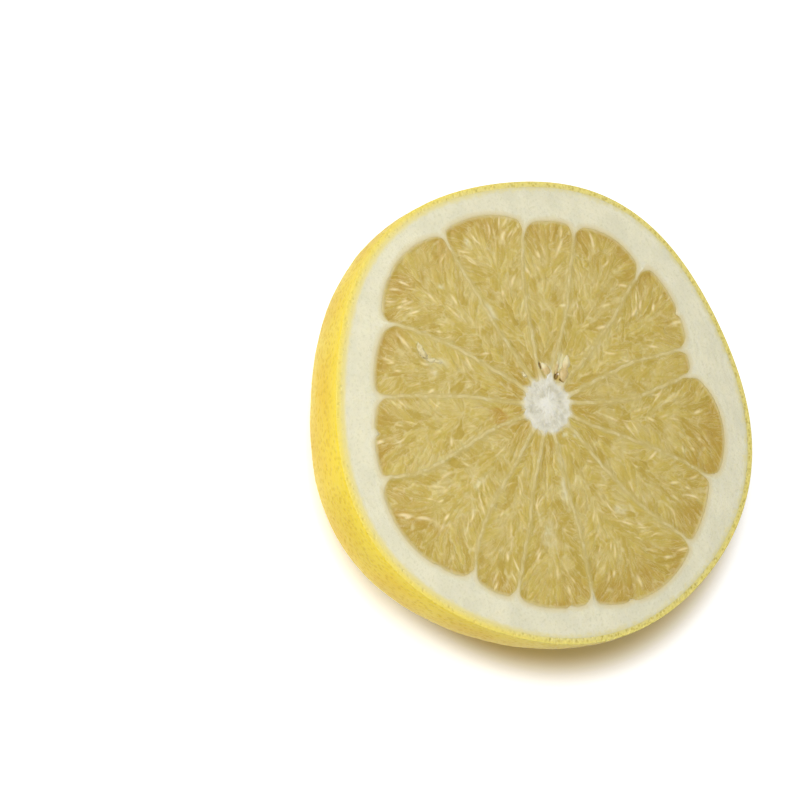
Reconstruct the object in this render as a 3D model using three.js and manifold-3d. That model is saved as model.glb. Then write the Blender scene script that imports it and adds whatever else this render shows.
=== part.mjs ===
// Half a pomelo, cut across a little above its widest girth, lying on its blossom end.
// Millimetres, +Z up. The origin is the middle of the flat rest spot, on the fruit's own axis.
import * as THREE from 'three';
import { mergeVertices } from 'three/addons/utils/BufferGeometryUtils.js';
import Module from 'manifold-3d';

const wasm = await Module();
wasm.setup();

// ---------------------------------------------------------------- driving dimensions
const RADIUS = 71.7; // mean radius at the widest girth
const GIRTH_HEIGHT = 59.5; // the widest girth above the rest spot
const CUT_HEIGHT = 66.5; // the cut face above the rest spot
const FULLNESS = 2.05; // exponent of the profile: 2 is an ellipse, more is fuller
const REST_RADIUS = 10; // the flat spot the fruit rests on
const RIND = 2.2; // yellow outer skin
const GAP = 0.3; // clearance between neighbouring solids

const CORE = { x: -1.8, y: 0.3 }; // the white core stands a little off the fruit's axis
const CORE_RADIUS = 8.5;
const PULP_DEPTH = 54; // the segments reach this far below the cut face
const PULP_FULLNESS = 2.2;
const WALL = 1.2; // membrane between two segments
const WALL_FLARE = 1.1; // extra wall thickness where it leaves the core
const FLARE_LENGTH = 2.5; // the flare dies away over this length
const RELIEF = 1.6; // how far the valleys between juice sacs lie below the cut face
const RELIEF_AT_CORE = 0.3; // the share of it at the core, where the sacs are thin

const RIND_SIDES = 56; // facets round the fruit
const RINGS = 8; // facets from the rest spot up to the cut
const ALONG = 9; // facets along a segment
const DEEP = 3; // facets down a segment's outer end
const SACS_ALONG = 3; // juice sacs in a row from core to rind
const CROWDING = 0.5; // how much closer facets and sacs lie at the walls, for round corners
const TOOL_RISE = 1; // a pocket's cutting solid stands this far out of the cut face

// The rim is not round: a few low lobes run down the fruit. Heights in mm, bearings in degrees.
const LOBES = [
  { count: 3, height: 0.75, bearing: 37 },
  { count: 4, height: 0.7, bearing: 27.5 },
  { count: 5, height: 0.94, bearing: -13.7 },
];

// Fourteen membranes, counter-clockwise, in degrees: bearing at the core's axis and at the pith,
// how far the membrane bows aside between them, and how far it waves, first one way, then back.
const WALLS = [
  [-15.5, -14.4, 0.9, -0.6], [22.9, 23, -4.7, -0.3], [37.9, 44.4, 3.9, -0.2], [72.1, 79, -5.6, -1.9],
  [81, 85.4, 6.5, 1.2], [115.7, 115.4, -3.7, -1.3], [146.8, 141.7, -5.5, -1.3], [170.5, 158.5, 0.3, -0.8],
  [190.4, 188, 0.8, 0.4], [217, 222.7, -2.4, 0.2], [251.6, 245.7, -5.2, -1.1], [276.8, 269.3, -2.3, -2.9],
  [300.3, 306.5, -2.1, 1.5], [324.9, 320.6, -2, -1.1],
];
const WALL_REACH = 58; // a membrane meets the pith about this far from the core's axis

// The segment after each wall: how far it reaches at its first and second wall, how much it
// bulges between them, its corner radius, and its juice sacs side by side.
const SEGMENTS = [
  { reach: [60.9, 63], bulge: 3.4, corner: 2.5, sacs: 5 },
  { reach: [62.5, 59], bulge: 0.6, corner: 3, sacs: 3 },
  { reach: [61.3, 52.4], bulge: 4.8, corner: 4, sacs: 4 },
  { reach: [52.5, 52.9], bulge: 0.6, corner: 2.5, sacs: 1 },
  { reach: [54.4, 59.1], bulge: 1.3, corner: 4, sacs: 4 },
  { reach: [56.2, 57], bulge: 2.8, corner: 4, sacs: 4 },
  { reach: [57.5, 55.4], bulge: 0.6, corner: 4, sacs: 3 },
  { reach: [55.8, 59.8], bulge: 1.9, corner: 3, sacs: 4 },
  { reach: [59.1, 57.5], bulge: 4.1, corner: 3, sacs: 5 },
  { reach: [56.1, 56.5], bulge: 1, corner: 4, sacs: 3 },
  { reach: [55.8, 61], bulge: 0.6, corner: 3, sacs: 3 },
  { reach: [61.7, 59.8], bulge: 3.8, corner: 4, sacs: 5 },
  { reach: [59.5, 60.1], bulge: 1, corner: 3, sacs: 2 },
  { reach: [60.3, 60.6], bulge: 1.1, corner: 4, sacs: 4 },
];

// Small undeveloped seeds beside the core: middle of each from the core's axis, and the
// bearing its pointed end faces.
const SEEDS = [
  { segment: 6, at: [-9.6, 4.4], bearing: 199, length: 5.2, width: 3.2 },
  { segment: 5, at: [-9.1, 8.6], bearing: 143, length: 5.4, width: 1.6 },
  { segment: 5, at: [-7.2, 10.8], bearing: 140, length: 7.2, width: 2.7 },
];
const SEED_SIDES = 8;
const SEED_RINGS = 5;
const SEED_FLATNESS = 0.8; // height over width
const SEED_SINK = 0.3; // a seed's middle lies this far below the cut face

// ---------------------------------------------------------------- materials
const finish = (color, roughness) => new THREE.MeshStandardMaterial({ color, roughness, metalness: 0 });
const rindFinish = finish('#f3d22a', 0.42);
const pithFinish = finish('#eef0e2', 0.85);
const pulpFinish = finish('#c5ab52', 0.3);
const seedFinish = finish('#d8c08c', 0.6);

// ---------------------------------------------------------------- helpers
const radians = THREE.MathUtils.degToRad;
const mix = THREE.MathUtils.lerp;

// A closed, shared-vertex copy of a geometry, without the triangles that collapse at its poles.
function welded(geometry) {
  geometry.deleteAttribute('normal');
  geometry.deleteAttribute('uv');
  const merged = mergeVertices(geometry, 1e-4);
  const index = merged.index.array;
  const kept = [];
  for (let i = 0; i < index.length; i += 3) {
    const [a, b, c] = index.slice(i, i + 3);
    if (a !== b && b !== c && c !== a) kept.push(a, b, c);
  }
  merged.setIndex(kept);
  return merged;
}

function toManifold(geometry) {
  const vertProperties = new Float32Array(geometry.attributes.position.array);
  const triVerts = new Uint32Array(geometry.index.array);
  return new wasm.Manifold(new wasm.Mesh({ numProp: 3, vertProperties, triVerts }));
}

function fromManifold(solid) {
  const mesh = solid.getMesh();
  const geometry = new THREE.BufferGeometry();
  geometry.setAttribute('position', new THREE.BufferAttribute(mesh.vertProperties, 3));
  geometry.setIndex(new THREE.BufferAttribute(mesh.triVerts, 1));
  return geometry;
}

function cut(geometry, tools) {
  return fromManifold(tools.reduce((solid, tool) => solid.subtract(toManifold(tool)), toManifold(geometry)));
}

// Moves every vertex of a geometry to place(x, y, z).
function bend(geometry, place) {
  const position = geometry.attributes.position;
  for (let i = 0; i < position.count; i++) {
    position.setXYZ(i, ...place(position.getX(i), position.getY(i), position.getZ(i)));
  }
  return geometry;
}

// ---------------------------------------------------------------- outer form
// Depth of the full profile below the girth, so that it is REST_RADIUS wide at the rest spot.
const DEPTH = GIRTH_HEIGHT / (1 - (REST_RADIUS / RADIUS) ** FULLNESS) ** (1 / FULLNESS);

// Points of the profile moved in by inset, from the edge of its flat spot up to the cut face.
function profile(inset) {
  const across = RADIUS - inset;
  const down = DEPTH - inset;
  const start = Math.acos(((GIRTH_HEIGHT - inset) / down) ** (FULLNESS / 2));
  const end = Math.PI / 2 + Math.asin(((CUT_HEIGHT - GIRTH_HEIGHT) / down) ** (FULLNESS / 2));
  const points = [];
  for (let i = 0; i <= RINGS; i++) {
    const angle = mix(start, end, i / RINGS);
    const drop = Math.sign(Math.cos(angle)) * Math.abs(Math.cos(angle)) ** (2 / FULLNESS);
    const radius = across * Math.sin(angle) ** (2 / FULLNESS);
    points.push(new THREE.Vector2(radius, GIRTH_HEIGHT - down * drop));
  }
  return points;
}

function lobed(x, y, z) {
  const bearing = Math.atan2(y, x);
  const swell = LOBES.reduce(
    (sum, lobe) => sum + lobe.height * Math.cos(lobe.count * (bearing - radians(lobe.bearing))), 0);
  const scale = 1 + swell / RADIUS;
  return [x * scale, y * scale, z];
}

// Turns a profile about the fruit's axis, then swells it into lobes.
function turned(points) {
  const lathe = new THREE.LatheGeometry(points, RIND_SIDES).rotateX(Math.PI / 2);
  return bend(welded(lathe), lobed);
}

const onAxis = (height) => new THREE.Vector2(0, height);

function rindShell() {
  const outside = profile(0);
  const inside = profile(RIND).reverse();
  return turned([onAxis(0), ...outside, ...inside, onAxis(RIND)]);
}

function pithBlock() {
  const inset = RIND + GAP;
  return turned([onAxis(inset), ...profile(inset), onAxis(CUT_HEIGHT)]);
}

// ---------------------------------------------------------------- segments
// Half the thickness of a membrane at a distance from the core's axis.
const halfWall = (radius) => (WALL + WALL_FLARE * Math.exp((CORE_RADIUS - radius) / FLARE_LENGTH)) / 2;

// Bearing of wall number i at a distance from the core's axis.
function wallBearing(i, radius) {
  const [inner, outer, bow, wave] = WALLS[i % WALLS.length];
  const share = Math.min(1, radius / WALL_REACH);
  const aside = bow * Math.sin(Math.PI * share) + wave * Math.sin(2 * Math.PI * share);
  return radians(Math.floor(i / WALLS.length) * 360 + mix(inner, outer, share) + aside);
}

// How far a rounded corner draws the outer end back, at a distance from the side wall.
function cornerDrop(side, corner) {
  const near = Math.max(0, corner - side);
  return corner - Math.sqrt(corner ** 2 - near ** 2);
}

// Height of the juice sacs over their valleys, 0 to 1: staggered rows of long drops.
function sacHeight(u, v, sacs) {
  const column = Math.min(sacs - 1, Math.floor(v * sacs));
  const ridge = 1 - Math.abs(2 * (v * sacs - column) - 1);
  const place = u * SACS_ALONG + (column % 2) / 2;
  return ridge * Math.sqrt(Math.sin(Math.PI * (place - Math.floor(place))));
}

// The top of the pulp at u along and v across a segment: ridged, with its valleys all round.
function pulpTop(u, v, sacs) {
  const depth = RELIEF * mix(RELIEF_AT_CORE, 1, Math.min(1, 2 * u));
  return CUT_HEIGHT - depth * (1 - sacHeight(u, v, sacs));
}

// One segment: a box bent between two walls, under the cut face and inside the pith. The box's
// x runs outwards, y across and z upwards, each by one; grow widens the segment all round.
function wedge(i, { grow, top }) {
  const { reach, bulge, corner, sacs } = SEGMENTS[i];
  const inner = CORE_RADIUS + GAP - grow;
  const box = new THREE.BoxGeometry(1, 1, 1, ALONG, 2 * sacs, DEEP);
  const place = (x, y, z) => {
    const u = x + 0.5;
    const even = y + 0.5;
    const v = even - CROWDING * Math.sin(2 * Math.PI * even) / (2 * Math.PI);
    const down = 0.5 - z;
    const out = Math.max(u, down);
    const angle = out === 0 ? 0 : (u >= down ? down / u : 2 - u / down) * Math.PI / 4;
    const spread = wallBearing(i + 1, WALL_REACH) - wallBearing(i, WALL_REACH);
    const width = mix(...reach, v) * spread - WALL;
    const drop = cornerDrop(width * Math.min(v, 1 - v), Math.min(corner, width / 2));
    const outer = mix(...reach, v) + bulge * 4 * v * (1 - v) - drop - GAP + grow;
    const radius = inner + (outer - inner) * out * Math.cos(angle) ** (2 / PULP_FULLNESS);
    const side = Math.asin((halfWall(radius) + GAP - grow) / radius);
    const first = wallBearing(i, radius) + side;
    const last = wallBearing(i + 1, radius) - side;
    const bearing = mix(first, last, v);
    const depth = (PULP_DEPTH - drop - GAP + grow) * out * Math.sin(angle) ** (2 / PULP_FULLNESS);
    const height = down === 0 ? top(u, even) : CUT_HEIGHT - depth;
    return [CORE.x + radius * Math.cos(bearing), CORE.y + radius * Math.sin(bearing), height];
  };
  return bend(welded(box), place);
}

const pocketTool = (i) => wedge(i, { grow: GAP, top: () => CUT_HEIGHT + TOOL_RISE });
const pulpWedge = (i) => wedge(i, { grow: 0, top: (u, v) => pulpTop(u, v, SEGMENTS[i].sacs) });

// ---------------------------------------------------------------- seeds
// A drop lying in the cut face, widened all round by grow.
function seedDrop({ at, bearing, length, width }, grow) {
  const points = [];
  for (let i = 0; i <= SEED_RINGS; i++) {
    const t = i / SEED_RINGS;
    const radius = i % SEED_RINGS === 0 ? 0 : (width / 2 + grow) * Math.sin(Math.PI * t ** 0.75) ** 0.7;
    points.push(new THREE.Vector2(radius, (length + 2 * grow) * (t - 0.5)));
  }
  return welded(new THREE.LatheGeometry(points, SEED_SIDES))
    .rotateZ(-Math.PI / 2)
    .scale(1, 1, SEED_FLATNESS)
    .rotateZ(radians(bearing))
    .translate(CORE.x + at[0], CORE.y + at[1], CUT_HEIGHT - SEED_SINK);
}

// ---------------------------------------------------------------- the half fruit
const half = new THREE.Group();

function add(name, geometry, material) {
  const mesh = new THREE.Mesh(geometry, material);
  mesh.name = name;
  half.add(mesh);
}

const sockets = SEEDS.map((seed) => seedDrop(seed, GAP));
const numbers = SEGMENTS.map((_, i) => i);

add('rind', rindShell(), rindFinish);
add('pith', cut(pithBlock(), [...numbers.map(pocketTool), ...sockets]), pithFinish);
for (const i of numbers) {
  const inThisSegment = sockets.filter((_, s) => SEEDS[s].segment === i);
  const wedgeSolid = pulpWedge(i);
  const geometry = inThisSegment.length ? cut(wedgeSolid, inThisSegment) : wedgeSolid;
  add(`segment_${String(i + 1).padStart(2, '0')}`, geometry, pulpFinish.clone());
}
SEEDS.forEach((seed, s) => add(`seed_${s + 1}`, seedDrop(seed, 0), seedFinish.clone()));

export default half;
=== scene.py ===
# %% [markdown]
# # Half a pomelo, cut side up
#
# This notebook dresses a plain solid model of half a pomelo. The solids hold the real size and
# are loaded first, as a frame that nothing here moves. Each visible part of the fruit is then
# modelled again, finely: the pebbled yellow rind, the spongy white pith with its core and
# membranes, fourteen segments of juice sacs, and a few small seeds. All lengths are in metres.

# %% Load the frame
import math

import bmesh
import bpy
import numpy as np
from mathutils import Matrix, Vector


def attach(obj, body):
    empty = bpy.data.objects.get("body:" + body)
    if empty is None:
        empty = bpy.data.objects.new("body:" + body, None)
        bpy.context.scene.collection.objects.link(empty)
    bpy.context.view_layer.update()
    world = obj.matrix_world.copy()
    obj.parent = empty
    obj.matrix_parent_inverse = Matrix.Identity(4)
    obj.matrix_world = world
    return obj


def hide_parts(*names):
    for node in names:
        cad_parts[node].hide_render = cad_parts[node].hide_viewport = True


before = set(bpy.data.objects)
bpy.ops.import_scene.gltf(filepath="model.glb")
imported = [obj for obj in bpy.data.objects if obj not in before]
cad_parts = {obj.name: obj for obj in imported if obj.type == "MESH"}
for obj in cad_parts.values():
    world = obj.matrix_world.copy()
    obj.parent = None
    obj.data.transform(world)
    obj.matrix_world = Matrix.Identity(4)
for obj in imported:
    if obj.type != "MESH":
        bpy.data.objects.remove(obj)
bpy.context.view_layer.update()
MM = 0.001


print("solids", sorted(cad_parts))

# %% [markdown]
# ## The fruit's own measures
#
# The solids were drawn from a few driving dimensions. The same ones are named here, because the
# fine surfaces are worked out from the same formulas. The fruit is a slightly full ellipsoid,
# cut a little above its widest girth, and its outline swells and sinks in a few low lobes. The
# core stands a little off the fruit's axis.

# %% Driving dimensions
RADIUS = 71.7 * MM  # mean radius at the widest girth
GIRTH_HEIGHT = 59.5 * MM
CUT_HEIGHT = 66.5 * MM
FULLNESS = 2.05  # exponent of the profile: 2 is an ellipse, more is fuller
REST_RADIUS = 10 * MM
RIND = 2.2 * MM  # thickness of the yellow skin

CORE_X, CORE_Y = -1.8 * MM, 0.3 * MM
CORE_RADIUS = 8.5 * MM
PULP_DEPTH = 54 * MM
PULP_FULLNESS = 2.2
WALL = 0.75 * MM  # a membrane as it shows on the cut face
WALL_FLARE = 0.9 * MM  # what it gains where it leaves the core, and over what length
FLARE_LENGTH = 2 * MM

# Lobes round the rim: how many, how high, and the bearing of the first in degrees.
LOBES = [(3, 0.75 * MM, 37), (4, 0.7 * MM, 27.5), (5, 0.94 * MM, -13.7)]
print("girth in mm", round(2 * RADIUS / MM, 1), "cut at", round(CUT_HEIGHT / MM, 1))

# %% [markdown]
# ## Membranes and segments
#
# Fourteen membranes run from the core to the pith, and no two are alike: each bows aside, waves
# a little, and starts and ends at its own bearing. A segment fills the room between two of them,
# and ends in a rounded arc against the pith. Each gets one row of numbers, so that the pith and
# the pulp can be worked out from the same rows.

# %% Membranes and segments
# Each membrane, in degrees: bearing at the core's axis and at the pith, how far it bows aside
# between them, and how far it waves, first one way, then back.
WALLS = [
    (-15.5, -14.4, 0.9, -0.6), (22.9, 23, -4.7, -0.3), (37.9, 44.4, 3.9, -0.2),
    (72.1, 79, -5.6, -1.9), (81, 85.4, 6.5, 1.2), (115.7, 115.4, -3.7, -1.3),
    (146.8, 141.7, -5.5, -1.3), (170.5, 158.5, 0.3, -0.8), (190.4, 188, 0.8, 0.4),
    (217, 222.7, -2.4, 0.2), (251.6, 245.7, -5.2, -1.1), (276.8, 269.3, -2.3, -2.9),
    (300.3, 306.5, -2.1, 1.5), (324.9, 320.6, -2, -1.1),
]
WALL_REACH = 58 * MM  # a membrane meets the pith about this far from the core's axis

# The segment after each membrane, in mm: reach at its first and second membrane, bulge between
# them, and corner radius.
SEGMENTS = [
    (60.9, 63, 3.4, 2.5), (62.5, 59, 0.6, 3), (61.3, 52.4, 4.8, 4), (52.5, 52.9, 0.6, 2.5),
    (54.4, 59.1, 1.3, 4), (56.2, 57, 2.8, 4), (57.5, 55.4, 0.6, 4), (55.8, 59.8, 1.9, 3),
    (59.1, 57.5, 4.1, 3), (56.1, 56.5, 1, 4), (55.8, 61, 0.6, 3), (61.7, 59.8, 3.8, 4),
    (59.5, 60.1, 1, 3), (60.3, 60.6, 1.1, 4),
]
COUNT = len(SEGMENTS)
print(COUNT, "segments")

# %% [markdown]
# ## The outline as formulas
#
# The profile is followed by an angle that grows from the blossom end to the cut face. Moved in by
# an inset, the same profile serves the inside of the rind and the pith, so that these surfaces
# keep their distance all the way down.

# %% Profile and rim
DEPTH = GIRTH_HEIGHT / (1 - (REST_RADIUS / RADIUS) ** FULLNESS) ** (1 / FULLNESS)


def lobe_swell(bearing):
    """How much further out than a round one the lobed outline lies, as a factor."""
    swell = 0
    for count, height, first in LOBES:
        swell = swell + height * np.cos(count * (bearing - math.radians(first)))
    return 1 + swell / RADIUS


def profile_angles(inset):
    """The profile's angles at the edge of its flat spot and at the cut face."""
    down = DEPTH - inset
    start = math.acos(((GIRTH_HEIGHT - inset) / down) ** (FULLNESS / 2))
    end = math.pi / 2 + math.asin(((CUT_HEIGHT - GIRTH_HEIGHT) / down) ** (FULLNESS / 2))
    return start, end


def profile_point(inset, angle):
    """Radius and height of the profile, moved in by inset, at an angle from the blossom end."""
    cosine = math.cos(angle)
    drop = math.copysign(abs(cosine) ** (2 / FULLNESS), cosine)
    return (RADIUS - inset) * math.sin(angle) ** (2 / FULLNESS), GIRTH_HEIGHT - (DEPTH - inset) * drop


def profile_rings(inset, start, end, steps):
    """Radius and height of the profile in even steps of its angle, from start to end."""
    return [profile_point(inset, start + (end - start) * i / steps) for i in range(steps + 1)]


RIM_RADIUS = profile_point(0, profile_angles(0)[1])[0]


def from_rim(x, y):
    """How far inside the lobed rim a point of the cut face lies."""
    return RIM_RADIUS - np.hypot(x, y) / lobe_swell(np.arctan2(y, x))


print("rim radius in mm", round(RIM_RADIUS / MM, 2))

# %% [markdown]
# ## Camera
#
# The fruit lies on a table and the camera looks steeply down into the cut face, as on a product
# shot. It is rolled round its own line of sight, so that a crescent of the outer skin shows at
# the left of the cut face, and it aims past the fruit, which leaves room on that side. A long
# lens keeps the rim nearly round.

# %% Place the camera
CAMERA_PLACE = Vector((-21.5, -347.6, 632.3)) * MM
CAMERA_TILT = math.radians(28.17)  # away from straight down
CAMERA_ROLL = math.radians(64.68)
CAMERA_LENS = 100  # focal length in millimetres

camera_data = bpy.data.cameras.new("camera")
camera_data.lens = CAMERA_LENS
camera = bpy.data.objects.new("camera", camera_data)
bpy.context.collection.objects.link(camera)
camera.rotation_mode = "ZYX"
camera.location = CAMERA_PLACE
camera.rotation_euler = (CAMERA_TILT, 0, CAMERA_ROLL)
bpy.context.scene.camera = camera
bpy.context.view_layer.update()


def camera_axis(x, y, z):
    """A direction that is given in the camera's own axes."""
    return (camera.matrix_world.to_3x3() @ Vector((x, y, z))).normalized()


TO_VIEWER = camera_axis(0, 0, 1)
PICTURE_UP = camera_axis(0, 1, 0)
PICTURE_RIGHT = camera_axis(1, 0, 0)
print("camera looks from", [round(x, 3) for x in TO_VIEWER])

# %% [markdown]
# ## Table and light
#
# A pale table and soft lamps give the even light of a studio. The key lamp stands a little above
# the camera and to its left, so only a narrow shadow shows at the lower right of the fruit. A
# broad fill lamp stands higher and to the right, and lights the upper side of the cut face a
# little more than the lower one. Under the fruit a warm, darker round patch is painted on the
# table: painted shadow, with the warm light that the yellow skin throws into it painted in too.

# %% Table, world and lamps
WORLD_STRENGTH = 0.18
TABLE_SIZE = 8
bpy.context.scene.view_settings.view_transform = "Standard"


def deselect_all():
    for chosen in list(bpy.context.selected_objects):
        chosen.select_set(False)


def soft_lamp(name, up, right, distance, size, watts):
    """A round lamp that faces the fruit, moved up and right from the camera's line of sight."""
    direction = TO_VIEWER + up * PICTURE_UP + right * PICTURE_RIGHT
    data = bpy.data.lights.new(name, "AREA")
    data.shape = "DISK"
    data.size = size
    data.energy = watts
    lamp = bpy.data.objects.new(name, data)
    bpy.context.collection.objects.link(lamp)
    lamp.location = Vector((0, 0, CUT_HEIGHT)) + direction.normalized() * distance
    lamp.rotation_euler = direction.to_track_quat("Z", "Y").to_euler()
    print(name, "stands at", [round(x, 2) for x in lamp.location])


soft_lamp("key_lamp", up=0.14, right=-0.07, distance=0.85, size=0.17, watts=6.22)
soft_lamp("fill_lamp", up=0.9, right=0.5, distance=0.8, size=0.6, watts=1.9)

world = bpy.data.worlds.new("studio")
world.use_nodes = True
background = world.node_tree.nodes["Background"]
background.inputs["Color"].default_value = (1, 1, 1, 1)
background.inputs["Strength"].default_value = WORLD_STRENGTH
bpy.context.scene.world = world

deselect_all()
bpy.ops.mesh.primitive_plane_add(size=TABLE_SIZE)
table = bpy.context.object
table.name = "table"

# %% [markdown]
# ## Finishes: a small language for shader nodes
#
# A finish is a tree of nodes. Written out node by node it is hard to read, so a socket is wrapped
# in a class that can be added and multiplied like a number, and each sum adds its Math nodes.
# A difference is turned round too, so that 1 minus a mask works.

# %% A socket that can be added and multiplied
class Socket:
    """An output of a node, which can be used in arithmetic."""

    def __init__(self, finish, socket):
        self.finish = finish
        self.socket = socket

    def math(self, operation, *others):
        return self.finish.node("Math", {"operation": operation}, dict(enumerate((self, *others))))

    def __add__(self, other):
        return self.math("ADD", other)

    def __mul__(self, other):
        return self.math("MULTIPLY", other)

    def __sub__(self, other):
        return self.math("SUBTRACT", other)

    def __rsub__(self, other):
        return self.math("MULTIPLY", -1) + other

    __radd__ = __add__
    __rmul__ = __mul__

    def ramp(self, low, high):
        """0 below low, 1 above high, with a smooth step between; low may be the larger."""
        limits = {1: low, 2: high} if low < high else {1: high, 2: low}
        settings = {"interpolation_type": "SMOOTHSTEP"}
        rising = self.finish.node("MapRange", settings, {0: self, **limits, 3: 0.0, 4: 1.0})
        return rising if low < high else 1 - rising


# %% [markdown]
# ### One method for every node
#
# Every other node comes from one method, which takes its type, its settings and its inputs. The
# patterns that this fruit needs get short names of their own. Sizes are given in metres, as
# those of the shapes are, and patterns read Object coordinates, which stay put on the piece.

# %% Finish
class Finish:
    """A material being put together round one Principled shader."""

    def __init__(self, name):
        self.material = bpy.data.materials.new(name)
        self.material.use_nodes = True
        self.tree = self.material.node_tree
        self.shader = self.tree.nodes["Principled BSDF"]

    def node(self, kind, settings=None, sockets=None, output=0):
        made = self.tree.nodes.new("ShaderNode" + kind)
        for name, value in (settings or {}).items():
            setattr(made, name, value)
        self.fill(made, sockets or {})
        return Socket(self, made.outputs[output])

    def fill(self, made, sockets):
        for name, value in sockets.items():
            if isinstance(value, Socket):
                self.tree.links.new(value.socket, made.inputs[name])
            else:
                made.inputs[name].default_value = value

    def set(self, **sockets):
        """Sets or links the shader's sockets; a name's _ stands for a space."""
        self.fill(self.shader, {name.replace("_", " "): value for name, value in sockets.items()})

    def place(self):
        """Object coordinates, in metres."""
        return self.node("TexCoord", output="Object")

    def attribute(self, name, output="Fac"):
        return self.node("Attribute", {"attribute_name": name}, output=output)

    def noise(self, size, place, detail=2.0, roughness=0.5):
        """Soft noise from 0 to 1, with features about size metres across."""
        sockets = {"Vector": place, "Scale": 1 / size, "Detail": detail, "Roughness": roughness}
        return self.node("TexNoise", None, sockets)

    def cells(self, size, place):
        """Distance to the nearest of points strewn about size metres apart, in that unit."""
        return self.node("TexVoronoi", None, {"Vector": place, "Scale": 1 / size})

    def measure(self, operation, first, second):
        """Vector Math with one number as its result, such as a distance."""
        return self.node("VectorMath", {"operation": operation}, {0: first, 1: second}, "Value")

    def mix(self, factor, first, second):
        """One colour turning into another as factor goes from 0 to 1."""
        return self.node("Mix", {"data_type": "RGBA"}, {0: factor, 6: first, 7: second}, 2)

    def bump(self, height, distance, strength):
        sockets = {"Height": height, "Distance": distance, "Strength": strength}
        return self.node("Bump", None, sockets)


LAMPS = 1.15  # how brightly the lamps light the cut face; a tint is that much darker to match


def tint(red, green, blue):
    """A surface colour, given as it looks on screen, from 0 to 255."""
    def linear(share):  # the standard curve of screens, undone
        return share / 12.92 if share < 0.04045 else ((share + 0.055) / 1.055) ** 2.4
    return tuple(linear(c / 255) / LAMPS for c in (red, green, blue)) + (1.0,)


print("a tint of pith white is", [round(c, 2) for c in tint(230, 226, 196)])

# %% [markdown]
# ### The table's finish
#
# White, and shining a little, so that it stays white out to its edge. Under the fruit a warm,
# darker round patch without that shine is painted: painted shadow, warmed to stand for the
# yellow light that the skin throws down into it.

# %% Table finish
SHADOW_MIDDLE = (13 * MM, 34 * MM, 0)
GLOW_FROM, GLOW_TO = 69 * MM, 81 * MM  # the painted warm shadow fades out between these radii
PAINTED_SHADOW_COLOR, TABLE_COLOR = (0.86, 0.73, 0.45, 1), (0.97, 0.97, 0.97, 1)
PAINTED_SHADOW_SHINE, TABLE_SHINE = (0.1, 0.08, 0.03, 1), (0.32, 0.32, 0.32, 1)


def table_finish():
    finish = Finish("table_paint")
    away = finish.measure("DISTANCE", finish.place(), SHADOW_MIDDLE).ramp(GLOW_FROM, GLOW_TO)
    # painted shadow: inside the patch the table is darker, warmer and without shine
    finish.set(
        Base_Color=finish.mix(away, PAINTED_SHADOW_COLOR, TABLE_COLOR),
        Roughness=0.6,
        Emission_Color=finish.mix(away, PAINTED_SHADOW_SHINE, TABLE_SHINE),
        Emission_Strength=1,
    )
    return finish


table.data.materials.append(table_finish().material)
print("table finish has", len(table.data.materials[0].node_tree.nodes), "nodes")

# %% [markdown]
# ## Modelling helpers
#
# Every surface here starts as a primitive: a circle or a grid. It is grown ring by ring with the
# extrude operator, as by hand. Where its points follow a formula, they are read into one numpy
# array, worked out together and written back. A piece can also keep numbers for its points, such
# as how deep each lies in the pulp, and its finish reads them as attributes.

# %% Points and values
def points_of(piece):
    co = np.empty(len(piece.data.vertices) * 3)
    piece.data.vertices.foreach_get("co", co)
    return co.reshape(-1, 3)


def set_points(piece, co):
    piece.data.vertices.foreach_set("co", np.asarray(co, float).ravel())
    piece.data.update()


def set_values(piece, name, values):
    """Keeps one number for each point of a piece, for its finish to read."""
    layer = piece.data.attributes.get(name) or piece.data.attributes.new(name, "FLOAT", "POINT")
    layer.data.foreach_set("value", np.asarray(values, float))


def values_of(piece, name):
    values = np.empty(len(piece.data.vertices))
    piece.data.attributes[name].data.foreach_get("value", values)
    return values


# %% [markdown]
# ### Rings and welds
#
# In edit mode the open edge of a piece is selected, extruded and scaled to make its next ring.
# Where rings close and seams meet, the doubled points are merged. Normals are turned outwards
# after that, and before anything is displaced along them.

# %% Rings and welds
WELD_DISTANCE = 0.005 * MM


def weld(piece, distance=WELD_DISTANCE):
    """Joins the points that meet at seams and poles, and turns all faces outwards."""
    bpy.ops.object.mode_set(mode="EDIT")
    bpy.ops.mesh.select_all(action="SELECT")
    bpy.ops.mesh.remove_doubles(threshold=distance)
    bpy.ops.mesh.normals_make_consistent(inside=False)
    bpy.ops.object.mode_set(mode="OBJECT")


def select_rim(piece):
    """In edit mode, selects the open edge of a piece."""
    bpy.ops.mesh.select_mode(type="EDGE")
    bpy.ops.mesh.select_all(action="DESELECT")
    bpy.ops.mesh.select_non_manifold()
    bpy.ops.mesh.select_mode(type="VERT")


def grow_ring(radius_from, radius_to, height_from, height_to):
    """Extrudes the selected ring and carries it to its next radius and height."""
    bpy.ops.mesh.extrude_edges_move()
    scale = radius_to / radius_from
    bpy.ops.transform.resize(value=(scale, scale, 1), center_override=(0, 0, 0))
    bpy.ops.transform.translate(value=(0, 0, height_to - height_from))


def grow_along(piece, path):
    """Grows the open edge of a piece ring by ring along a path, and closes it at the end."""
    bpy.ops.object.mode_set(mode="EDIT")
    select_rim(piece)
    for (radius, height), (next_radius, next_height) in zip(path, path[1:]):
        grow_ring(radius, next_radius, height, next_height)
    bpy.ops.mesh.merge(type="CENTER")
    bpy.ops.object.mode_set(mode="OBJECT")
    weld(piece)


# %% [markdown]
# ### Handing a piece over
#
# A finished piece gets one material, rides on the fruit's only body, and hides the plain solid
# that it stands in for.

# %% Hand a piece over
def finished(piece, slot, finish, *nodes):
    """Gives a piece its finish, and its place in the frame."""
    bpy.context.view_layer.objects.active = piece
    piece.select_set(True)
    bpy.ops.object.shade_smooth()
    piece.select_set(False)
    piece.data.materials.clear()
    piece.data.materials.append(finish.material)
    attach(piece, "root")
    if nodes:
        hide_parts(*nodes)
    triangles = sum(len(face.vertices) - 2 for face in piece.data.polygons)
    print(piece.name, "has", triangles, "triangles")


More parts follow.
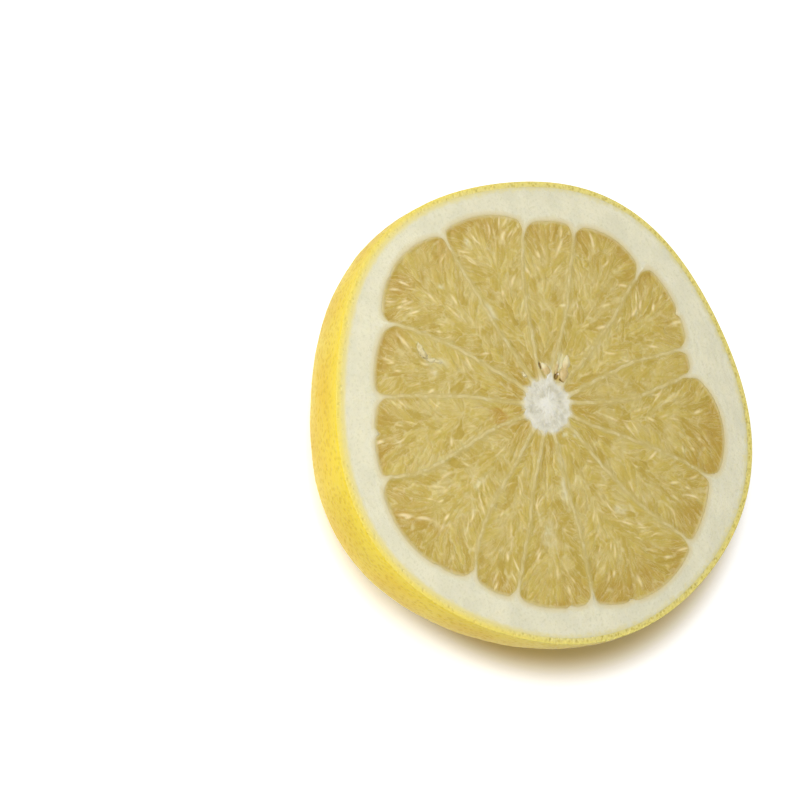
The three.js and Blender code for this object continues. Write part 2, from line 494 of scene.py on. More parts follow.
# %% [markdown]
# ## The rind
#
# The skin of a citrus fruit is a thin shell. It could be a ball cut in half and made hollow, but
# then its rings would crowd at the pole and miss the cut. So it is grown from a circle on the
# rest spot: ring after ring up the outside, over the lip that the knife left, and down again
# inside. Subdivision then makes it smooth.

# %% Grow the rind
RIND_SIDES = 60
RIND_RINGS = 13
INSIDE_RINGS = 3
RIND_SMOOTHING = 3  # levels of subdivision
LIP = 0.12 * MM  # the cut edges are very slightly round
LIP_SUPPORT = 0.6 * MM  # rings this far from an edge keep it crisp under subdivision


def start_circle(name, radius, height, sides):
    """A round face, swollen into the fruit's lobes."""
    deselect_all()
    bpy.ops.mesh.primitive_circle_add(vertices=sides, radius=radius, fill_type="TRIFAN")
    piece = bpy.context.object
    piece.name = name
    co = points_of(piece)
    co[:, :2] *= lobe_swell(np.arctan2(co[:, 1], co[:, 0]))[:, None]
    co[:, 2] = height
    set_points(piece, co)
    return piece


def ring_path():
    """Radius and height of each ring, from the rest spot round the lip to the inside."""
    outside = profile_rings(0, *profile_angles(0), RIND_RINGS)
    rim, top = outside[-1]
    inner_start, inner_end = profile_angles(RIND)
    inside = profile_rings(RIND, inner_end, inner_start, INSIDE_RINGS)
    inner_rim = inside[0][0]
    lip = [(rim, top - LIP_SUPPORT), (rim, top - LIP), (rim - LIP, top), (rim - LIP_SUPPORT, top)]
    lip += [(inner_rim + LIP_SUPPORT, top), (inner_rim + LIP, top), (inner_rim, top - LIP)]
    lip += [(inner_rim, top - LIP_SUPPORT)]
    return outside[:-1] + lip + inside[1:]


def grow_rind():
    path = ring_path()
    rind = start_circle("rind_skin", *path[0], RIND_SIDES)
    grow_along(rind, path)
    smooth = rind.modifiers.new("smooth", "SUBSURF")
    smooth.levels = smooth.render_levels = RIND_SMOOTHING
    bpy.ops.object.modifier_apply(modifier=smooth.name)
    return rind


rind = grow_rind()
print("rind points", len(rind.data.vertices))

# %% [markdown]
# ### Oil glands and a scar
#
# The skin is full of oil glands that dimple it, about 1.5 mm apart, and it swells and sinks
# broadly. Both are real displacement, weighted so that they fade out at the lip and on the rest
# spot. The finest grain is left to bump. A shallow round scar marks where the flower sat.

# %% Dimple the rind
GLAND_SPACING = 1.45 * MM
GLAND_DEPTH = 0.16 * MM
SWELL_SIZE = 9 * MM
SWELL_HEIGHT = 0.35 * MM
SCAR_RADIUS = 3.2 * MM  # the scar the flower left, in the middle of the rest spot
SCAR_DEPTH = 0.5 * MM
SKIN_DEPTH, SKIN_FADE = 1.0 * MM, 0.5 * MM  # the outer surface counts down to this depth
LIP_MARGIN, LIP_FADE = 0.2 * MM, 0.8 * MM
REST_MARGIN, REST_FADE = 0.05 * MM, 1.5 * MM


def outside_weight(co):
    """1 on the outer surface, fading to 0 at the lip, the inside and the rest spot."""
    radius = np.hypot(co[:, 0], co[:, 1]) / lobe_swell(np.arctan2(co[:, 1], co[:, 0]))
    shell = ((np.minimum(radius, RADIUS) / RADIUS) ** FULLNESS
             + (np.abs(GIRTH_HEIGHT - co[:, 2]) / DEPTH) ** FULLNESS) ** (1 / FULLNESS)
    outer = np.clip((shell - 1 + SKIN_DEPTH / RADIUS) / (SKIN_FADE / RADIUS), 0, 1)
    below_lip = np.clip((CUT_HEIGHT - LIP_MARGIN - co[:, 2]) / LIP_FADE, 0, 1)
    above_rest = np.clip((co[:, 2] - REST_MARGIN) / REST_FADE, 0, 1)
    return outer * below_lip * above_rest


def displace(piece, name, kind, size, height):
    """Pushes the weighted points of a piece in and out by a pattern."""
    texture = bpy.data.textures.new(name, kind)
    texture.noise_scale = size
    relief = piece.modifiers.new(name, "DISPLACE")
    relief.texture = texture
    relief.texture_coords = "LOCAL"
    relief.strength = height
    relief.mid_level = 0.5
    relief.vertex_group = "outside"
    bpy.ops.object.modifier_apply(modifier=relief.name)


weights = outside_weight(points_of(rind))
group = rind.vertex_groups.new(name="outside")
for index in np.flatnonzero(weights > 0):
    group.add([int(index)], float(weights[index]), "REPLACE")
displace(rind, "swells", "CLOUDS", SWELL_SIZE, SWELL_HEIGHT)
displace(rind, "gland_dimples", "VORONOI", GLAND_SPACING, GLAND_DEPTH)

co = points_of(rind)
off_axis = np.hypot(co[:, 0], co[:, 1])
on_rest = co[:, 2] < RIND / 2
scar = np.clip(1 - (off_axis / SCAR_RADIUS) ** 2, 0, 1) * on_rest
co[:, 2] += SCAR_DEPTH * scar
set_points(rind, co)
set_values(rind, "scar", np.clip(1.6 * scar, 0, 1))
set_values(rind, "from_rim", from_rim(co[:, 0], co[:, 1]))
print("dimpled points", int(np.count_nonzero(weights)), "of", len(co))

# %% [markdown]
# ### The rind's finish
#
# Lemon yellow, with darker translucent dots where the oil glands sit, broad mottling and a few
# faint green patches that a ripening fruit keeps. Near the lip the skin is painted brighter, as
# painted light. On the cut lip the glands are sliced open and show as olive dots in a band that
# runs unevenly into the pith. On the side towards the lamps the cut skin is painted yellower, as
# painted light.

# %% The painted lit side and the ragged edge
PAINTED_LIT_SIDE = (-0.34, -0.94, 0)  # the side towards the lamps, on which the cut skin is painted yellowest as painted light
PAINTED_LIT_FROM, PAINTED_LIT_TO = -10 * MM, 45 * MM
RAGGED_SIZE = 2.2 * MM


def ragged_edge(finish, place):
    """Noise round 0 that makes the border between skin and pith ragged."""
    return finish.noise(RAGGED_SIZE, place, 3.0, 0.6) - 0.5


def painted_lit_side(finish, place):
    """0 on the side away from the lamps, 1 on the side towards them, where painted light makes it
    yellow.
    """
    return finish.measure("DOT_PRODUCT", place, PAINTED_LIT_SIDE).ramp(PAINTED_LIT_FROM, PAINTED_LIT_TO)


def painted_lit_tint(finish, inwards):
    """The cut skin's painted-light colour there, from the outer edge inwards into the pith."""
    into_pith = inwards.ramp(0.4 * MM, RIND + 1.5 * MM)
    return finish.mix(into_pith, tint(241, 219, 97), tint(231, 221, 170))


painted_lit_bearing = math.degrees(math.atan2(PAINTED_LIT_SIDE[1], PAINTED_LIT_SIDE[0]))
print("the sunny side lies at a bearing of", round(painted_lit_bearing), "degrees")

# %% [markdown]
# ### Skin outside, skin cut open
#
# The outer skin and the cut skin are two colours that are worked out side by side. The height of
# a point says which of them shows, because the lip is the only part of the rind that high.

# %% Rind finish
FINE_GLAND_SPACING = GLAND_SPACING * 0.55
OPEN_GLAND_SPACING = GLAND_SPACING * 0.8
PAINTED_LIP_LIGHT = 8 * MM  # the skin is painted brighter over this height below the lip, as painted light


def outer_skin(finish, place, height, gland_dot, mottle):
    """Colour of the skin's outer surface, with painted light near the lip."""
    green = finish.noise(38 * MM, place, 1.0).ramp(0.52, 0.72)
    skin = finish.mix(mottle.ramp(0.3, 0.75), tint(248, 217, 36), tint(241, 202, 22))
    skin = finish.mix(green * 0.3, skin, tint(222, 205, 60))
    skin = finish.mix(gland_dot * 0.4, skin, tint(218, 172, 24))
    # painted light: the skin is painted brighter towards the lip
    painted_light_near_lip = height.ramp(CUT_HEIGHT - PAINTED_LIP_LIGHT, CUT_HEIGHT)
    return finish.mix(painted_light_near_lip * 0.6, skin, tint(251, 226, 54))


def cut_open_skin(finish, place):
    """Colour of the skin where the knife went through it."""
    inwards = finish.attribute("from_rim")
    fleck = finish.noise(0.9 * MM, place, 3.0)
    cut_skin = finish.mix(fleck.ramp(0.35, 0.65), tint(235, 220, 128), tint(224, 209, 114))
    paler = inwards + 2 * MM * (fleck - 0.5) + 3 * MM * ragged_edge(finish, place)
    paler = paler.ramp(0.5 * MM, RIND + 0.4 * MM)
    cut_skin = finish.mix(paler, cut_skin, tint(225, 212, 142))
    open_gland = finish.cells(OPEN_GLAND_SPACING, place).ramp(0.52, 0.2)
    band = inwards.ramp(0.4 * MM, 0.9 * MM) * inwards.ramp(2.2 * MM, 1.5 * MM)
    cut_skin = finish.mix(open_gland * band * 0.62, cut_skin, tint(186, 166, 66))
    # painted light: on the side towards the lamps the cut skin is painted yellower
    painted_lit = painted_lit_tint(finish, inwards + fleck * 0.6 * MM)
    return finish.mix(painted_lit_side(finish, place) * 0.85, cut_skin, painted_lit)


def rind_finish():
    finish = Finish("rind_peel")
    place = finish.place()
    height = finish.node("SeparateXYZ", None, {0: place}, "Z")
    gland = finish.cells(GLAND_SPACING, place)
    dot = gland.ramp(0.6, 0.15)
    mottle = finish.noise(14 * MM, place, 3.0)
    lip = height.ramp(CUT_HEIGHT - 0.3 * MM, CUT_HEIGHT - 0.05 * MM)
    skin = outer_skin(finish, place, height, dot, mottle)
    skin = finish.mix(lip, skin, cut_open_skin(finish, place))
    skin = finish.mix(finish.attribute("scar") * 0.85, skin, tint(120, 86, 44))
    fine_gland = finish.cells(FINE_GLAND_SPACING, place)
    pits = gland.ramp(0.0, 0.5) + 0.35 * fine_gland.ramp(0.0, 0.5)
    grain = finish.noise(0.35 * MM, place, 2.0)
    finish.set(
        Base_Color=skin,
        Roughness=0.36 + 0.18 * mottle + 0.1 * dot,
        Normal=finish.bump(pits + 0.25 * grain, 0.25 * MM, 0.8),
        Specular_IOR_Level=0.22,
        Subsurface_Weight=0.12,
        Subsurface_Radius=(1.0, 0.7, 0.2),
        Subsurface_Scale=1.2 * MM,
        Coat_Weight=0.04,
        Coat_Roughness=0.3,
    )
    return finish


finished(rind, "rind", rind_finish(), "rind")

# %% [markdown]
# ## Where pulp ends and pith begins
#
# One function says, for any point of the cut face, how deep it lies inside a segment: positive in
# the pulp, negative in the pith or a membrane. It works in polar coordinates round the core. Both
# the pith and the pulp follow it, so they meet along one soft line with no gap. Nothing that grew
# is quite regular, so a soft noise made of a few waves comes first.

# %% Soft noise
def smooth_noise(x, y, size, seed):
    """Soft noise from -1 to 1 for arrays of points, with features about size metres across."""
    total = np.zeros_like(x)
    random = np.random.default_rng(seed)
    for octave in range(3):
        turn, phase_x, phase_y = random.uniform(0, 2 * math.pi, 3)
        scale = 2 * math.pi / size * 1.7 ** octave
        across = x * math.cos(turn) + y * math.sin(turn)
        along = y * math.cos(turn) - x * math.sin(turn)
        total += (np.sin(across * scale + phase_x + 1.3 * np.sin(along * scale * 0.6 + phase_y))
                  * np.cos(along * scale * 0.9 + phase_y)) / 1.5 ** octave
    return total / 1.9


sample = smooth_noise(np.linspace(0, 60 * MM, 600), np.zeros(600), 5 * MM, 1)
print("soft noise runs from", round(float(sample.min()), 2), "to", round(float(sample.max()), 2))

# %% [markdown]
# ### Membranes on the cut face
#
# A membrane is a line from the core outwards, given by its bearing at any distance. It bows and
# waves as its row among the driving dimensions says, wobbles a little, and flares at the core.

# %% Membranes
WOBBLE = 0.3 * MM  # a membrane isn't quite smooth
WOBBLE_LENGTH = 2.2 * MM
WOBBLE_FADE = 5 * MM  # an angle swings a point less, the nearer it lies to the core
CORE_SHRINK = 0.8 * MM  # the core shows a little smaller than its solid, as its fringe is see-through


def half_wall(radius):
    """Half the thickness of a membrane at a distance from the core's axis."""
    beyond = np.maximum(0, radius - CORE_RADIUS + CORE_SHRINK)
    return (WALL + WALL_FLARE * np.exp(-beyond / FLARE_LENGTH)) / 2


def wall_bearing(i, radius):
    """Bearing of a membrane at a distance from the core, in radians."""
    inner, outer, bow, wave = WALLS[i % COUNT]
    share = np.minimum(1, radius / WALL_REACH)
    aside = bow * np.sin(math.pi * share) + wave * np.sin(2 * math.pi * share)
    bearing = np.radians(360 * (i // COUNT) + inner + (outer - inner) * share + aside)
    phase = 2 * (i % COUNT)
    wobble = WOBBLE * np.sin(radius / WOBBLE_LENGTH + phase)
    wobble = wobble * np.sin(1.7 * radius / WOBBLE_LENGTH + 2 * phase)
    return bearing + wobble / (radius + WOBBLE_FADE)


def mean_reach(i):
    """How far from the core's axis segment i reaches, between its two corners."""
    return (SEGMENTS[i % COUNT][0] + SEGMENTS[i % COUNT][1]) / 2 * MM


def side_bearings(i, radius):
    """Bearings of the two membranes that enclose segment i."""
    return wall_bearing(i, radius), wall_bearing(i + 1, radius)


def spread(i):
    """The angle that segment i takes up at its outer end."""
    first, second = side_bearings(i, WALL_REACH)
    return second - first


thickness_mm = [round(2 * float(half_wall(radius * MM)) / MM, 2) for radius in (12, 20, 40)]
print("membrane thickness in mm at 12, 20 and 40 mm from the core's axis", thickness_mm)

# %% [markdown]
# ### The edge of the core
#
# The core isn't round. It is lopsided, its edge is frayed, a tongue of it reaches out towards the
# seeds, and it comes to a small point wherever a membrane leaves it.

# %% Edge of the core
CORE_POINT = 0.5 * MM
CORE_POINT_WIDTH = math.radians(5)
LOPSIDED, LOPSIDED_BEARING = 1.0 * MM, math.radians(315)
OVAL, OVAL_BEARING = 0.2 * MM, math.radians(302)
TONGUE, TONGUE_BEARING, TONGUE_WIDTH = 2.4 * MM, math.radians(147), math.radians(6)
FRAY, FRAY_SIZE = 0.3 * MM, 3 * MM
FRAY_RADIUS = 9 * MM  # the noise is read along this circle


def turned(bearing):
    """The same bearing, brought between minus half a turn and half a turn."""
    return (bearing + math.pi) % (2 * math.pi) - math.pi


def core_edge(bearing):
    """How far from its axis the core reaches at a bearing."""
    lopsided = LOPSIDED * np.cos(bearing - LOPSIDED_BEARING)
    lopsided = lopsided + OVAL * np.cos(2 * bearing - OVAL_BEARING)
    tongue = TONGUE * np.exp(-((bearing - TONGUE_BEARING) / TONGUE_WIDTH) ** 2)
    x, y = FRAY_RADIUS * np.cos(bearing), FRAY_RADIUS * np.sin(bearing)
    frayed = FRAY * smooth_noise(x, y, FRAY_SIZE, 71)
    points = np.zeros_like(bearing)
    for i in range(COUNT):
        aside = turned(bearing - wall_bearing(i, CORE_RADIUS))
        points = np.maximum(points, CORE_POINT * np.exp(-(aside / CORE_POINT_WIDTH) ** 2))
    return CORE_RADIUS - CORE_SHRINK + lopsided + tongue + frayed + points


def beyond_core(x, y):
    """How far outside the edge of the core a point lies."""
    bearing = np.arctan2(y - CORE_Y, x - CORE_X) % (2 * math.pi)
    return np.hypot(x - CORE_X, y - CORE_Y) - core_edge(bearing)


edge = core_edge(np.linspace(0, 2 * math.pi, 360))
print("core reaches", round(float(edge.min()) / MM, 1), "to", round(float(edge.max()) / MM, 1), "mm")

# %% [markdown]
# ### Depth inside a segment
#
# A point's depth in a segment is its distance to the nearest of the four edges: the membranes on
# both sides, the outer end and the core. Where two edges meet, the corner is round.

# %% Depth inside a segment
CORE_CORNER = 1.2 * MM
NOTCH_WIDTH = 1.1 * MM
# Small notches in the outer edge, where two rows of sacs part: segment, share across, depth in mm.
NOTCHES = [
    (0, 0.31, 1.5), (4, 0.4, 1.3), (10, 0.45, 1.5),
    (11, 0.72, 0.5), (8, 0.6, 0.5), (13, 0.7, 0.7),
]


def nearer_of(first, second, corner):
    """The smaller of two depths, with a round corner where both are small."""
    both = np.hypot(np.maximum(corner - first, 0), np.maximum(corner - second, 0))
    nearer = np.minimum(first, second)
    return np.where(both > 0, np.minimum(corner - both, nearer), nearer)


def pulp_reach(i, across):
    """How far out segment i reaches, at a share of the way across it."""
    first, second, bulge, _ = SEGMENTS[i % COUNT]
    return (first + (second - first) * across + bulge * 4 * across * (1 - across)) * MM


def pulp_depth_at(i, across, radius):
    """How deep inside segment i a point lies, in metres along the cut face."""
    first, second = side_bearings(i, radius)
    width = radius * (second - first)
    near_side = across * width - half_wall(radius)
    far_side = (1 - across) * width - half_wall(radius)
    reach = pulp_reach(i, across)
    for segment, place, depth in NOTCHES:
        if segment == i % COUNT:
            reach = reach - depth * MM * np.exp(-(((across - place) * width) / NOTCH_WIDTH) ** 2)
    outer_end = reach - radius
    corner = SEGMENTS[i % COUNT][3] * MM
    near_half = nearer_of(near_side, outer_end, corner)
    far_half = nearer_of(far_side, outer_end, corner)
    inner_end = radius - core_edge(first + (second - first) * across)
    return nearer_of(nearer_of(near_half, far_half, 0), inner_end, CORE_CORNER)


middle = np.array([0.5])
depths = [float(pulp_depth_at(i, middle, np.array([30 * MM]))[0]) for i in range(COUNT)]
print("half widths of the segments in mm, 30 mm out", [round(depth / MM, 1) for depth in depths])

# %% [markdown]
# ### Hollows and veils
#
# Where small seeds grew, the tissue has shrunk away from them and left hollows. Both the pith and
# the pulp sink there, and the hollows are painted dark brown as painted shade. Elsewhere a scrap of
# thin membrane lies on the pulp like a white veil. Each is an oval patch with a soft edge, so one
# function serves both. The last two veils lie under the seeds.

# %% Soft patches
# Middle of each patch from the core's axis, half length and half width, all in mm, and its
# bearing in degrees.
HOLLOWS = [(-6.2, 6.8, 1.3, 0.7, 130), (-11.1, 3.1, 1.1, 0.4, 170), (-4.2, 7.7, 0.9, 0.35, 30)]
HOLLOW_DEPTH = 0.7 * MM
VEILS = [
    (-29.4, -31.4, 3.2, 1.2, 3), (-25.3, -28.6, 3, 1, 65), (-23.8, -29.8, 2, 0.8, -34),
    (16.5, -4.4, 4.5, 1, 350), (24.5, -7, 5, 1.5, 338), (38, 7.3, 2.4, 1.6, 60),
    (35, -19, 4, 2.4, 150), (-9.7, 12, 1.3, 0.9, 100), (-10.6, 9.6, 1, 0.7, 60),
    (-45, -16.5, 1.4, 0.7, 40), (-32, -4.5, 3, 1.6, 10), (-10.6, -3.2, 0.9, 0.7, 0),
    (10.8, 0.6, 1.2, 0.7, 100), (12.6, 3.8, 1, 0.6, 40), (-53.5, -1.5, 1.5, 0.9, 0),
    (12, -33, 2.4, 1, 100), (-9.6, 4.6, 3, 2.3, 190), (-9.3, 9.2, 4.2, 2.6, 140),
]


def patches_at(x, y, patches):
    """1 in the middle of a patch, 0 away from them all."""
    most = np.zeros_like(x)
    for off_x, off_y, half_length, half_width, bearing in patches:
        dx = x - CORE_X - off_x * MM
        dy = y - CORE_Y - off_y * MM
        turn = math.radians(bearing)
        along = (dx * math.cos(turn) + dy * math.sin(turn)) / (half_length * MM)
        across = (dy * math.cos(turn) - dx * math.sin(turn)) / (half_width * MM)
        most = np.maximum(most, np.exp(-(along ** 2 + across ** 2) ** 1.5))
    return most


print(len(HOLLOWS), "hollows and", len(VEILS), "veils")

# %% [markdown]
# ## The pith, its core and its membranes
#
# Pith, core and membranes grew as one spongy body, so they are one piece. It starts as a grid
# that is bent round the core. The grid's columns crowd along the membranes, its rings crowd
# near the rind, and the surface drops steeply into a pocket under each segment. The rim is then
# extruded down along the inside of the rind and closed at the blossom end.
#
# First come the places of the grid's columns and rings. Columns lie at fixed distances off a
# membrane's middle, and the rest of a segment's width is shared out evenly.

# %% Columns and rings of the pith
WALL_COLUMNS = np.array([0, 0.2, 0.38, 0.55, 0.75, 1.0, 1.3, 1.8, 2.5, 3.4, 4.5]) * MM
MID_COLUMNS = 13
CORE_RINGS = 16
WALL_RINGS = 60
OUTER_RINGS = 60
OUTER_FROM = 48 * MM
LAST_RING = 0.9985  # share of the way to the rim; this last narrow ring keeps the rim crisp
PITH_INSET = RIND - 0.2 * MM  # the pith runs on a little over the lip of the rind


def column_shares(width):
    """Shares of the way across a segment of this width, crowded at both of its membranes."""
    room = WALL_COLUMNS[-1] * 1.4
    near = WALL_COLUMNS[:, None] * np.minimum(1, width / 2 / room)[None, :]
    middle_share = np.linspace(0, 1, MID_COLUMNS + 2)[1:-1, None]
    middle = near[-1] + (width - 2 * near[-1]) * middle_share
    return np.concatenate([near, middle, width - near[::-1]]) / width


PER_SEGMENT = 2 * len(WALL_COLUMNS) + MID_COLUMNS - 1
RINGS = CORE_RINGS + WALL_RINGS + OUTER_RINGS


def rim_distance(bearing, inset):
    """How far the lobed rim lies from the core at a bearing from the core."""
    radius = np.full_like(bearing, RADIUS)
    rim = profile_point(inset, profile_angles(inset)[1])[0]
    for _ in range(8):
        x, y = CORE_X + radius * np.cos(bearing), CORE_Y + radius * np.sin(bearing)
        radius += rim * lobe_swell(np.arctan2(y, x)) - np.hypot(x, y)
    return radius


print(COUNT * PER_SEGMENT, "columns and", RINGS, "rings")

# %% [markdown]
# ### Pockets and sponge
#
# The pith falls away slowly at the edge of a segment, then steeply down to the pocket's floor.
# Where it lies open, the knife left it a little uneven. The core is fibrous, with a raised edge.

# %% Relief of the pith
SHOULDER_SLOPE, SHOULDER_CURVE = 0.35, 0.5 / MM
SHELF_WIDTH = 1.3 * MM  # this far inside a segment the steep wall of its pocket begins
STEEPNESS = 60
SHELF_DEPTH = 1.5 * MM  # where a pocket is shallow, its floor is at least this low
# Soft waves of the open pith and of the core: height and size of each in mm, and its seed.
PITH_WAVES = [(0.1, 9, 11), (0.04, 2.2, 12)]
CORE_WAVES = [(0.1, 4, 13), (0.06, 1.7, 14)]
CORE_EDGE_LIFT, CORE_EDGE_WIDTH = 0.1 * MM, 1.5 * MM
CORE_MIDDLE_LIFT, CORE_MIDDLE_WIDTH = 0.15 * MM, 2.5 * MM
CORE_SINK = 0.15 * MM


def pocket_drop(i, across, radius, depth):
    """How far the pith's surface lies below the cut face."""
    under = np.maximum(0, depth)
    shoulder = SHOULDER_SLOPE * under + SHOULDER_CURVE * under ** 2
    steep = np.maximum(0, depth - SHELF_WIDTH) * STEEPNESS
    share = np.clip((radius - CORE_RADIUS) / (pulp_reach(i, across) - CORE_RADIUS), 0, 1)
    floor = PULP_DEPTH * (1 - share ** PULP_FULLNESS) ** (1 / PULP_FULLNESS)
    shelf = np.minimum(shoulder, SHELF_DEPTH)
    return np.minimum(shoulder + steep, np.maximum(floor, shelf))


def waves(x, y, rows):
    """The sum of several soft noises."""
    return sum(height * MM * smooth_noise(x, y, size * MM, seed) for height, size, seed in rows)


def sponge_relief(x, y, radius):
    """Height of the open pith over the cut face: waves, and a core with a raised edge and middle."""
    core = np.clip(1 - radius / (CORE_RADIUS + 1 * MM), 0, 1)
    uneven = waves(x, y, PITH_WAVES) + waves(x, y, CORE_WAVES) * np.clip(core * 4, 0, 1)
    from_edge = radius - CORE_RADIUS + 0.6 * MM
    edge = CORE_EDGE_LIFT * np.exp(-(from_edge / CORE_EDGE_WIDTH) ** 2)
    middle = CORE_MIDDLE_LIFT * np.exp(-(radius / CORE_MIDDLE_WIDTH) ** 2)
    rough = uneven * np.clip(radius / (4 * MM), 0, 1)
    return rough + edge + middle - CORE_SINK * np.clip(core * 1.5, 0, 1)


pocket = pocket_drop(0, middle, np.array([30 * MM]), np.array([5 * MM]))
print("the pocket of segment_01 is", round(float(pocket[0]) / MM, 1), "mm deep 30 mm out")

# %% [markdown]
# ### Where each point goes
#
# Near the core a ring has a fixed radius, and further out a share of the way to the rim. A column
# follows its membrane, which bends on the way out, so its place is worked out in a few rounds.
# The finish has to know where the pith is only a thin membrane: beside a membrane's middle, but
# neither at the core nor near the rim.

# %% Places of the pith's points
WALL_BAND, WALL_FADE = 3.2 * MM, 1.5 * MM
RIM_MARGIN, RIM_FADE = 1 * MM, 5 * MM
CORE_FADE = 2.5 * MM


def membrane_share(i, across, radius, span):
    """1 where the pith beside segment i is a thin membrane, 0 in the core and near the rim."""
    nearest = np.minimum(across, 1 - across) * radius * span
    on_wall = np.clip((WALL_BAND - nearest) / WALL_FADE, 0, 1)
    off_rim = np.clip((pulp_reach(i, across) - RIM_MARGIN - radius) / RIM_FADE, 0, 1)
    off_core = np.clip((radius - CORE_RADIUS + CORE_SHRINK) / CORE_FADE, 0, 1)
    return on_wall * off_rim * off_core


def ring_places():
    """Radius of each ring round the core, and its share of the way from there to the rim."""
    base_radius = np.concatenate([
        np.linspace(0, CORE_RADIUS + 1 * MM, CORE_RINGS, endpoint=False),
        np.linspace(CORE_RADIUS + 1 * MM, OUTER_FROM, WALL_RINGS, endpoint=False),
        np.full(OUTER_RINGS + 1, OUTER_FROM),
    ])
    outer_ring = np.arange(RINGS + 1) - CORE_RINGS - WALL_RINGS
    outer_share = np.clip(outer_ring / (OUTER_RINGS - 1), 0, 1)
    outer_share[-2] = LAST_RING
    return base_radius, outer_share


def follow_membranes(i, local, start, outer_share):
    """Share across segment i, bearing, radius, rim distance and the segment's angle."""
    radius = start
    for _ in range(4):  # a column follows its membrane, which bends on the way to the rim
        first, second = side_bearings(i, radius)
        across = column_shares(radius * (second - first))[local, np.arange(len(local))]
        bearing = first + (second - first) * across
        to_rim = rim_distance(bearing, PITH_INSET)
        radius = start + (to_rim - start) * outer_share
    return across, bearing, radius, to_rim, second - first


first_rings = ring_places()[0][:4]
print("the first rings have radii in mm of", [round(float(r) / MM, 2) for r in first_rings])

# %% [markdown]
# ### Bend the pith
#
# Each point of the grid knows its column and its ring. That gives its place round the core, its
# height, and the values that the finish reads.

# %% Bend the pith
SMALLEST_RADIUS = 1e-7  # metres; the innermost ring all but closes, and is welded later
RIM_LIFT = 0.03 * MM  # at the rim the pith lies this far above the lip
LIFT_WIDTH = 1.5 * MM
OPEN_FROM, OPEN_FADE = 0.05 * MM, 1.2 * MM  # the pith is open where no pulp lies over it


def bend_pith():
    columns = COUNT * PER_SEGMENT
    deselect_all()
    bpy.ops.mesh.primitive_grid_add(x_subdivisions=columns, y_subdivisions=RINGS, size=1)
    pith = bpy.context.object
    pith.name = "pith_body"
    co = points_of(pith)
    column = np.rint((co[:, 0] + 0.5) * columns).astype(int)
    ring = np.rint((co[:, 1] + 0.5) * RINGS).astype(int)
    base_radius, outer_share = ring_places()
    x, y, z, thin, inside, hollow = (np.zeros(len(co)) for _ in range(6))
    for i in range(COUNT):
        mine = (column // PER_SEGMENT == i) | ((i == COUNT - 1) & (column == columns))
        local = column[mine] - i * PER_SEGMENT
        start = np.maximum(base_radius[ring[mine]], SMALLEST_RADIUS)
        places = follow_membranes(i, local, start, outer_share[ring[mine]])
        across, bearing, radius, to_rim, span = places
        depth = pulp_depth_at(i, across, radius)
        x[mine] = CORE_X + radius * np.cos(bearing)
        y[mine] = CORE_Y + radius * np.sin(bearing)
        is_open = np.clip((to_rim - radius) / (2 * MM), 0, 1)
        is_open *= np.clip((OPEN_FROM - depth) / OPEN_FADE, 0, 1)
        lift = RIM_LIFT * (radius > to_rim - LIFT_WIDTH)
        relief = sponge_relief(x[mine], y[mine], radius) * is_open + lift
        sunk = patches_at(x[mine], y[mine], HOLLOWS)
        drop = pocket_drop(i, across, radius, depth)
        z[mine] = CUT_HEIGHT - drop + relief - HOLLOW_DEPTH * sunk
        hollow[mine] = sunk
        thin[mine] = membrane_share(i, across, radius, span)
        inside[mine] = depth
    set_points(pith, np.stack([x, y, z], 1))
    set_values(pith, "thin", thin)
    set_values(pith, "inside", inside)
    set_values(pith, "hollow", hollow)
    set_values(pith, "beyond_core", beyond_core(x, y))
    set_values(pith, "from_rim", from_rim(x, y))
    return pith


pith = bend_pith()
weld(pith)
print("pith grid has", len(pith.data.vertices), "points after its two ends are welded")

# %% [markdown]
# ### Close the pith
#
# What is left open is the rim. It goes down inside the rind ring by ring, and closes at the
# blossom end.

# %% Close the pith
PITH_RINGS = 14

start, end = profile_angles(PITH_INSET)
grow_along(pith, profile_rings(PITH_INSET, end, start, PITH_RINGS))
print("closed pith has", len(pith.data.vertices), "points")

# %% [markdown]
# ### The pith's finish
#
# The pith is off-white and spongy, greyer and more fibrous in the core. A membrane is the same
# tissue, but so thin that the juice shows through it, which turns it cream to tan and nearly hides
# it half way. Towards the pulp the colour slides into the pulp's within about a millimetre.

# %% Pith and membrane colours
EDGE_TINT = tint(219, 203, 152)  # where pith and pulp run into each other


def open_pith(finish, place, sponge):
    """Colour of the white pith, from the segments out to the rind."""
    cloudy = finish.noise(7 * MM, place, 4.0)
    white = finish.mix(cloudy.ramp(0.3, 0.7), tint(232, 227, 198), tint(223, 219, 191))
    white = finish.mix(sponge.ramp(0.48, 0.72) * 0.5, white, tint(206, 202, 168))
    inwards = finish.attribute("from_rim")
    rim = inwards + 2.4 * MM * (sponge - 0.5) + 4 * MM * ragged_edge(finish, place)
    rim = rim.ramp(RIND + 1.5 * MM, RIND - 0.3 * MM)
    white = finish.mix(rim, white, tint(226, 216, 164))
    # painted light: by the rim on the side towards the lamps the pith takes the cut skin's painted
    # yellow
    painted_lit = painted_lit_side(finish, place) * inwards.ramp(RIND + 1.4 * MM, RIND + 0.2 * MM)
    return finish.mix(painted_lit, white, painted_lit_tint(finish, inwards))


def towards_pulp(finish, white, sponge):
    """The white pith's colour, sliding into the pulp's at the edge of a segment."""
    inside = finish.attribute("inside")
    warm = (inside + 1.2 * MM * (sponge - 0.5)).ramp(-2.8 * MM, -0.4 * MM)
    white = finish.mix(warm, white, tint(221, 210, 169))
    shoulder = (inside + 0.6 * MM * (sponge - 0.5)).ramp(-0.85 * MM, 0.1 * MM)
    return finish.mix(shoulder * 0.95, white, EDGE_TINT)


